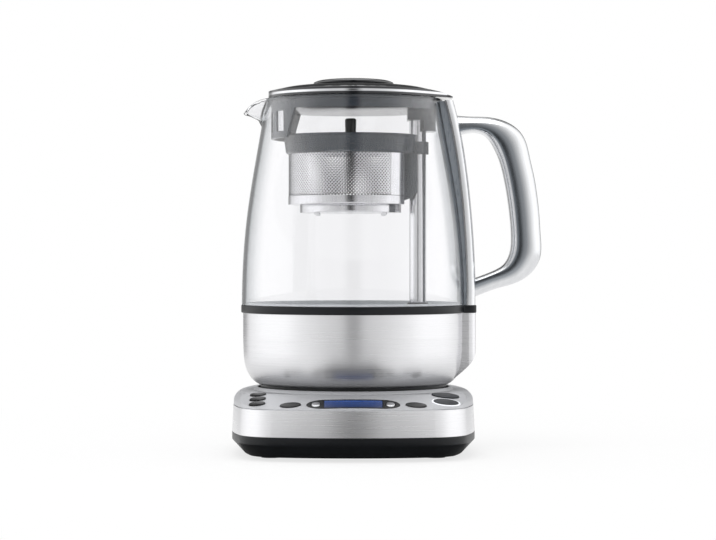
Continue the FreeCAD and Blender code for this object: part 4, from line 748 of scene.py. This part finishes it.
def hole_cell(name, radius, corners):
    """Flat diamond of sheet in mm with a round hole in its middle."""
    cell = started(name, bpy.ops.mesh.primitive_circle_add, vertices=HOLE_SIDES, radius=radius * MM)
    bpy.ops.object.mode_set(mode="EDIT")
    mesh = bmesh.from_edit_mesh(cell.data)
    inner = sorted(mesh.verts, key=bearing)
    outer = sorted([mesh.verts.new(Vector(corner) * MM) for corner in corners], key=bearing)
    for a, b in zip(outer, outer[1:] + outer[:1]):
        gaps = [abs(math.remainder(bearing(vert) - bearing(a), math.tau)) for vert in inner]
        first = gaps.index(min(gaps))
        near, middle, far = (inner[(first + k) % HOLE_SIDES] for k in range(3))
        mesh.faces.new((a, near, middle))
        mesh.faces.new((a, middle, b))
        mesh.faces.new((b, middle, far))
    mesh.normal_update()
    bmesh.update_edit_mesh(cell.data)
    bpy.ops.object.mode_set(mode="OBJECT")
    return cell


def perforated_sleeve(sizes):
    """Sheet with staggered round holes, rolled into the basket's wall."""
    arc = math.radians(360 - 2 * HOLES_END) * SLEEVE_RADIUS
    across = round(arc / sizes.hole_pitch)
    half = arc / across / 2
    tall = SLEEVE_HIGH - SLEEVE_LOW
    up = round(tall / (2 * half))
    step = tall / up / 2
    corners = [(-half, 0, 0), (0, -step, 0), (half, 0, 0), (0, step, 0)]
    sleeve = hole_cell("basket_sleeve", sizes.hole_radius, corners)
    bpy.ops.object.mode_set(mode="EDIT")
    bpy.ops.mesh.select_all(action="SELECT")
    bpy.ops.mesh.duplicate_move(TRANSFORM_OT_translate={"value": (half * MM, step * MM, 0)})
    bpy.ops.object.mode_set(mode="OBJECT")
    for count, offset in ((across, (2 * half * MM, 0, 0)), (up, (0, 2 * step * MM, 0))):
        applied(sleeve, "ARRAY", count=count, use_relative_offset=False, use_constant_offset=True,
                constant_offset_displace=offset)
    alone(sleeve)
    bpy.ops.object.mode_set(mode="EDIT")
    bpy.ops.mesh.select_all(action="SELECT")
    bpy.ops.mesh.remove_doubles(threshold=0.02 * MM)
    bpy.ops.object.mode_set(mode="OBJECT")
    for vert in sleeve.data.vertices:
        x, y = vert.co.x / MM, vert.co.y / MM
        turn = math.radians(HOLES_END) + (x + half) / SLEEVE_RADIUS
        vert.co = Vector(on_wall(SLEEVE_RADIUS, turn, SLEEVE_LOW + step + y)) * MM
    sleeve.data.update()
    for finish in ("inside_shade", "polished"):      # inside, painted dark as shade, then outside and the holes' edges
        sleeve.data.materials.append(MADE[finish])
    applied(sleeve, "SOLIDIFY", thickness=sizes.sleeve_wall * MM, offset=0.0, material_offset=1,
            material_offset_rim=1)
    return smooth(sleeve, 40)


def sleeve_flat(wall):
    """Plain part of the sleeve: two curved strips and the flat side by the post."""
    start = math.radians(HOLES_END + SEAM_GAP)
    corner = math.acos((FLAT_X - BASKET_X) / SLEEVE_RADIUS)
    strip = [start + (corner - start) * i / SEAM_STEPS for i in range(SEAM_STEPS + 1)]
    corners = ((wall, SLEEVE_LOW), (wall, SLEEVE_HIGH), (-wall, SLEEVE_HIGH), (-wall, SLEEVE_LOW))
    rings = [[on_wall(SLEEVE_RADIUS + offset, turn, z) for offset, z in corners]
             for turn in strip + [-turn for turn in reversed(strip)]]
    return smooth(stacked("basket_seam_sheet", rings), 40)


# ---- operators ------------------------------------------------------------------------------
MADE = {}                   # finishes shared by the operators
MAKERS = {
    "brushed": brushed_stainless, "bowl_shaded": bowl_steel_painted_shade, "satin": satin_stainless,
    "handle": handle_steel_painted_reflection, "polished": polished_stainless, "inside_shade": sleeve_inside_painted_shade,
    "brass": plated_brass, "zinc": zinc_plate, "nickel": nickel_plate, "aluminium": cast_aluminium,
    "silver": silver_paint, "chrome": chromed_plastic, "ring": light_ring, "slate": slate_nylon,
    "rail": rail_nylon, "lid": dark_polycarbonate, "dome": lid_plastic_painted_highlight,
    "grip": soft_dark_plastic, "black": black_plastic, "gloss": gloss_black, "acetal": white_acetal,
    "rubber": soft_rubber, "milky": milky_silicone, "silicone": grey_silicone, "board": green_board,
    "glass": borosilicate_glass,
}
CLAD = {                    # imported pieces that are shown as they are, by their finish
    # the bowl's brushed steel, with painted shade towards its foot
    "bowl_shaded": ("steel_bowl",),
    "brushed": ("base_skirt",),
    "satin": ("spine_cover",),
    "polished": ("heating_plate", "lift_post", "basket_lid", "post_cap", "spout_strainer"),
    "brass": ("connector_contacts", "coupler_contacts"),
    "zinc": ("base_screws", "coupler_screws", "heating_element", "lead_screw"),
    "nickel": ("slider_magnets", "shuttle_magnets"),
    "aluminium": ("gear_frame",),
    "silver": ("top_panel",),
    "rail": ("spine_rail",),
    "black": ("bowl_base", "connector_socket", "jug_coupler", "turning_ring", "post_foot",
              "lift_motor", "thermostat"),
    "acetal": ("motor_pinion", "screw_gear", "magnet_shuttle", "display_module"),
    "rubber": ("feet", "cord_gland"),
    "silicone": ("lid_seal",),
    "board": ("control_board", "power_board"),
    "display": ("display_window",),
}
SEAL_LIP_RADIUS = 75.8      # inside this radius the seal's faces are pale milky silicone


class TEAMAKER_OT_finishes(Operator):
    """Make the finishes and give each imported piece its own"""

    bl_idname = "teamaker.finishes"
    bl_label = "Finishes"

    def execute(self, context):
        look = context.scene.tea_maker_look
        for name, make in MAKERS.items():
            MADE[name] = make()
        MADE["display"] = lit_display(look.display_blue, look.display_glow)
        for finish, names in CLAD.items():
            for name in names:
                for holder in frame["nodes"][name].material_slots:
                    holder.material = MADE[finish]
        return {"FINISHED"}


class TEAMAKER_OT_jug(Operator):
    """Model the glass jug with its spout"""

    bl_idname = "teamaker.jug"
    bl_label = "Glass jug"

    def execute(self, context):
        sizes = context.scene.tea_maker_sizes
        settled(glass_jug(sizes), MADE["glass"], "jug", "clear_glass", "glass_jug")
        return {"FINISHED"}


class TEAMAKER_OT_handle(Operator):
    """Model the steel handle"""

    bl_idname = "teamaker.handle"
    bl_label = "Handle"

    def execute(self, context):
        settled(steel_handle(), MADE["handle"], "jug", "brushed_steel", "handle")
        return {"FINISHED"}


class TEAMAKER_OT_controls(Operator):
    """Round the edges of the buttons, the display's bezel and the bright ring"""

    bl_idname = "teamaker.controls"
    bl_label = "Controls"

    def execute(self, context):
        for name in ("select_button_left", "select_button_right", "preset_button_front",
                     "preset_button_middle", "preset_button_rear"):
            dressed(name, name + "_cap", MADE["gloss"], name, 0.9)
        for name in ("large_button_front", "large_button_rear"):
            dressed(name, name + "_cap", MADE["grip"], name, 0.8)
        for name in ("arrow_button_left", "arrow_button_right"):
            dressed(name, name + "_cap", MADE["chrome"], name, 0.6)
        dressed("large_button_ring", "large_ring_opal", MADE["ring"], "base", 0.25)
        dressed("display_bezel", "display_bezel_gloss", MADE["gloss"], "base", 0.5)
        return {"FINISHED"}


class TEAMAKER_OT_mouldings(Operator):
    """Round the edges of the moulded and pressed pieces"""

    bl_idname = "teamaker.mouldings"
    bl_label = "Mouldings"

    def execute(self, context):
        for name, finish, body, bevel in (
                ("base_tray", "black", "base", 0.6),
                ("basket_collar", "slate", "basket", 0.5), ("basket_slider", "slate", "basket", 0.6),
                ("basket_ring", "polished", "basket", 0.3), ("basket_cup", "polished", "basket", 0.3),
                ("basket_lid_knob", "gloss", "basket_cover", 0.5), ("lid_plug", "slate", "lid", 0.5),
                ("lid_grip", "lid", "lid", 0.6), ("lid_dome", "dome", "lid", 0.6)):
            dressed(name, name + "_finished", MADE[finish], body, bevel)
        seal = dressed("band_seal", "band_seal_finished", MADE["black"], "jug", 0.7)
        seal.data.materials.append(MADE["milky"])
        for face in seal.data.polygons:
            face.material_index = int(math.hypot(face.center.x, face.center.y) < SEAL_LIP_RADIUS * MM)
        return {"FINISHED"}


class TEAMAKER_OT_basket(Operator):
    """Model the basket's perforated sleeve"""

    bl_idname = "teamaker.basket"
    bl_label = "Tea basket"

    def execute(self, context):
        sizes = context.scene.tea_maker_sizes
        settled(perforated_sleeve(sizes), MADE["polished"], "basket", "steel_mesh", "basket_mesh")
        settled(sleeve_flat(sizes.sleeve_wall), MADE["polished"], "basket", "steel_mesh")
        return {"FINISHED"}


class TEAMAKER_OT_stage(Operator):
    """Set the floor, the studio's light and the camera"""

    bl_idname = "teamaker.stage"
    bl_label = "Stage"

    def execute(self, context):
        context.scene.view_settings.view_transform = "Standard"
        studio_floor()
        studio_world(context.scene.tea_maker_look.room_light)
        floor_card("grey card", half_width=0.088, near=-0.03, far=-0.28, bright=0.12)
        studio_lamp("top softbox", spot=(-0.3, -0.6, 1.7), aim=(0.0, 0.0, 0.1), size=(1.2, 0.9), power=7.0)
        studio_camera()
        return {"FINISHED"}


# ---- stage, in metres -----------------------------------------------------------------------
FLOOR_RADIUS = 1.1
FLOOR_DROP = 0.0002         # how far the floor lies under the feet
FLOOR_FADE = (0.13, 0.5)    # from the middle: how far the floor's white grows
FLOOR_WHITE = (0.74, 1.0)   # share of plain white at these two
CARD_HEIGHT = 0.0008
CAMERA_SPOT = (0.00315, -1.6, 0.136)
CAMERA_TILT = 0.351         # degrees below level
CAMERA_LENS = 114.94        # mm
CAMERA_SENSOR = 36.0        # mm
HORIZON = (                 # degrees from the front, brightness of the studio's cards
    (0, 0.1), (4, 0.12), (9, 0.5), (13, 0.74), (28, 0.72), (45, 0.86), (60, 1.08), (76, 1.4), (108, 1.4),
    (138, 0.95), (150, 0.3), (165, 0.35), (173, 0.95), (180, 1.0))
# The dark card behind: shares of the half turn from front to back, and heights as the Z of a direction.
BEHIND_TURN = (0.84, 0.93)
BEHIND_LOW = (0.1, 0.2)
BEHIND_TOP = (0.44, 0.56)
BEHIND_DARK = 0.93          # how much of the light it takes
CEILING_Z = (0.84, 0.92)
CEILING_BRIGHT = 3.5


def studio_floor():
    """White sweep: keeps the contact shadow, and away from the jug fades into the backdrop's plain white."""
    floor = started("studio_floor", bpy.ops.mesh.primitive_circle_add, vertices=96, radius=FLOOR_RADIUS,
                    fill_type="NGON", location=(0, 0, -FLOOR_DROP))
    material = bpy.data.materials.new("white studio floor")
    material.use_nodes = True
    tree = material.node_tree
    tree.nodes.clear()
    matt = node(tree, "ShaderNodeBsdfDiffuse", {"Color": linear("#f4f4f4")})
    lit = node(tree, "ShaderNodeEmission", {"Color": linear("#ffffff"), "Strength": 1.0})
    place = node(tree, "ShaderNodeTexCoord")
    away = node(tree, "ShaderNodeVectorMath", {"operation": "LENGTH"}, {0: place.outputs["Object"]})
    fade = node(tree, "ShaderNodeMapRange", dict(enumerate(FLOOR_FADE + FLOOR_WHITE, 1)),
                {0: away.outputs["Value"]})
    share = node(tree, "ShaderNodeMath", {"operation": "MULTIPLY"}, {0: seen_rays(tree), 1: fade.outputs[0]})
    mix = node(tree, "ShaderNodeMixShader", {}, {0: share.outputs[0], 1: matt.outputs[0], 2: lit.outputs[0]})
    node(tree, "ShaderNodeOutputMaterial", {}, {"Surface": mix.outputs[0]})
    floor.data.materials.append(material)


def seen_rays(tree):
    """1 for the rays that show the backdrop: camera, mirror and glass; 0 for light."""
    path = node(tree, "ShaderNodeLightPath")
    seen = node(tree, "ShaderNodeMath", {"operation": "MAXIMUM"},
                {0: path.outputs["Is Camera Ray"], 1: path.outputs["Is Transmission Ray"]})
    return node(tree, "ShaderNodeMath", {"operation": "MAXIMUM"},
                {0: seen.outputs[0], 1: path.outputs["Is Glossy Ray"]}).outputs[0]


def mirrored_rays(tree):
    """1 once a ray has left a mirror-like surface."""
    path = node(tree, "ShaderNodeLightPath")
    return node(tree, "ShaderNodeMath", {"operation": "GREATER_THAN", 1: 0.5},
                {0: path.outputs["Glossy Depth"]}).outputs[0]


def studio_world(strength):
    """White backdrop that camera and glass see; metal and gloss see the studio's dark and bright cards."""
    world = bpy.data.worlds.new("studio")
    bpy.context.scene.world = world
    world.use_nodes = True
    tree = world.node_tree
    tree.nodes.clear()
    place = node(tree, "ShaderNodeTexCoord")
    axes = node(tree, "ShaderNodeSeparateXYZ", {}, {0: place.outputs["Generated"]})
    x, y, z = axes.outputs
    side = node(tree, "ShaderNodeMath", {"operation": "ABSOLUTE"}, {0: x})
    ahead = node(tree, "ShaderNodeMath", {"operation": "MULTIPLY", 1: -1.0}, {0: y})
    turn = node(tree, "ShaderNodeMath", {"operation": "ARCTAN2"}, {0: side.outputs[0], 1: ahead.outputs[0]})
    share = node(tree, "ShaderNodeMath", {"operation": "DIVIDE", 1: math.pi}, {0: turn.outputs[0]})
    horizon = ramped(tree, share.outputs[0], [(angle / 180, bright) for angle, bright in HORIZON])
    masks = []
    for source, (start, end), low, high in ((share.outputs[0], BEHIND_TURN, 0.0, BEHIND_DARK),
                                            (z, BEHIND_LOW, 0.0, 1.0), (z, BEHIND_TOP, 1.0, 0.0)):
        masks.append(node(tree, "ShaderNodeMapRange", {1: start, 2: end, 3: low, 4: high}, {0: source}))
    behind, low, top = (mask.outputs[0] for mask in masks)
    band = node(tree, "ShaderNodeMath", {"operation": "MULTIPLY"}, {0: low, 1: top})
    dim = node(tree, "ShaderNodeMath", {"operation": "MULTIPLY"}, {0: behind, 1: band.outputs[0]})
    cards = node(tree, "ShaderNodeMix", {"data_type": "RGBA", 7: (0, 0, 0, 1)},
                 {0: dim.outputs[0], 6: horizon})
    ceiling = node(tree, "ShaderNodeMapRange", {1: CEILING_Z[0], 2: CEILING_Z[1]}, {0: z})
    cards = node(tree, "ShaderNodeMix", {"data_type": "RGBA", 7: (CEILING_BRIGHT,) * 3 + (1,)},
                 {0: ceiling.outputs[0], 6: cards.outputs[2]})
    backdrop = node(tree, "ShaderNodeMix", {"data_type": "RGBA", 6: (1, 1, 1, 1)},
                    {0: mirrored_rays(tree), 7: cards.outputs[2]})
    shown = node(tree, "ShaderNodeBackground", {"Strength": 1.0}, {"Color": backdrop.outputs[2]})
    room = node(tree, "ShaderNodeBackground", {"Color": (1, 1, 1, 1), "Strength": strength})
    mix = node(tree, "ShaderNodeMixShader", {}, {0: seen_rays(tree), 1: room.outputs[0], 2: shown.outputs[0]})
    node(tree, "ShaderNodeOutputWorld", {}, {"Surface": mix.outputs[0]})


def floor_card(name, half_width, near, far, bright):
    """A card on the floor in front that only mirrored rays see: low metal mirrors it instead of white."""
    card = started(name, bpy.ops.mesh.primitive_plane_add, size=1.0)
    for vert in card.data.vertices:
        vert.co = (math.copysign(half_width, vert.co.x), far if vert.co.y > 0 else near, CARD_HEIGHT)
    card.data.update()
    material = bpy.data.materials.new(name)
    material.use_nodes = True
    tree = material.node_tree
    tree.nodes.clear()
    clear = node(tree, "ShaderNodeBsdfTransparent")
    paper = node(tree, "ShaderNodeEmission", {"Color": (bright, bright, bright, 1.0), "Strength": 1.0})
    mix = node(tree, "ShaderNodeMixShader", {},
               {0: mirrored_rays(tree), 1: clear.outputs[0], 2: paper.outputs[0]})
    node(tree, "ShaderNodeOutputMaterial", {}, {"Surface": mix.outputs[0]})
    card.data.materials.append(material)


def studio_lamp(name, spot, aim, size, power):
    """A soft lamp that metal doesn't mirror."""
    lamp = bpy.data.lights.new(name, "AREA")
    lamp.shape = "RECTANGLE"
    lamp.size, lamp.size_y = size
    lamp.energy = power
    holder = bpy.data.objects.new(name, lamp)
    bpy.context.scene.collection.objects.link(holder)
    holder.location = spot
    holder.visible_glossy = False
    holder.rotation_euler = (Vector(aim) - Vector(spot)).to_track_quat("-Z", "Y").to_euler()


def studio_camera():
    """A camera in front, a little above the counter and tilted down a trace."""
    lens = bpy.data.cameras.new("camera")
    lens.lens = CAMERA_LENS
    lens.sensor_width = CAMERA_SENSOR
    camera = bpy.data.objects.new("camera", lens)
    bpy.context.scene.collection.objects.link(camera)
    camera.location = CAMERA_SPOT
    camera.rotation_euler = (math.radians(90 - CAMERA_TILT), 0.0, 0.0)
    bpy.context.scene.camera = camera


# ---- add-on ---------------------------------------------------------------------------------
class TEAMAKER_PT_panel(Panel):
    """Lists the steps and the settings"""

    bl_idname = "TEAMAKER_PT_panel"
    bl_label = "Tea maker"
    bl_space_type = "VIEW_3D"
    bl_region_type = "UI"
    bl_category = "Tea maker"

    def draw(self, context):
        for group in (context.scene.tea_maker_sizes, context.scene.tea_maker_look):
            for key in group.__annotations__:
                self.layout.prop(group, key)
        for step in STEPS:
            self.layout.operator(step.bl_idname)


STEPS = (TEAMAKER_OT_finishes, TEAMAKER_OT_jug, TEAMAKER_OT_handle, TEAMAKER_OT_controls,
         TEAMAKER_OT_mouldings, TEAMAKER_OT_basket, TEAMAKER_OT_stage)
CLASSES = (TeaMakerSizes, TeaMakerLook) + STEPS + (TEAMAKER_PT_panel,)


def register():
    """Registers the classes and hangs the settings on the scene."""
    for item in CLASSES:
        bpy.utils.register_class(item)
    bpy.types.Scene.tea_maker_sizes = PointerProperty(type=TeaMakerSizes)
    bpy.types.Scene.tea_maker_look = PointerProperty(type=TeaMakerLook)


def unregister():
    """Takes both away again."""
    del bpy.types.Scene.tea_maker_sizes
    del bpy.types.Scene.tea_maker_look
    for item in reversed(CLASSES):
        bpy.utils.unregister_class(item)


def main():
    """Builds everything in order."""
    register()
    for step in STEPS:
        group, call = step.bl_idname.split(".")
        getattr(getattr(bpy.ops, group), call)()


if __name__ == "__main__":
    main()
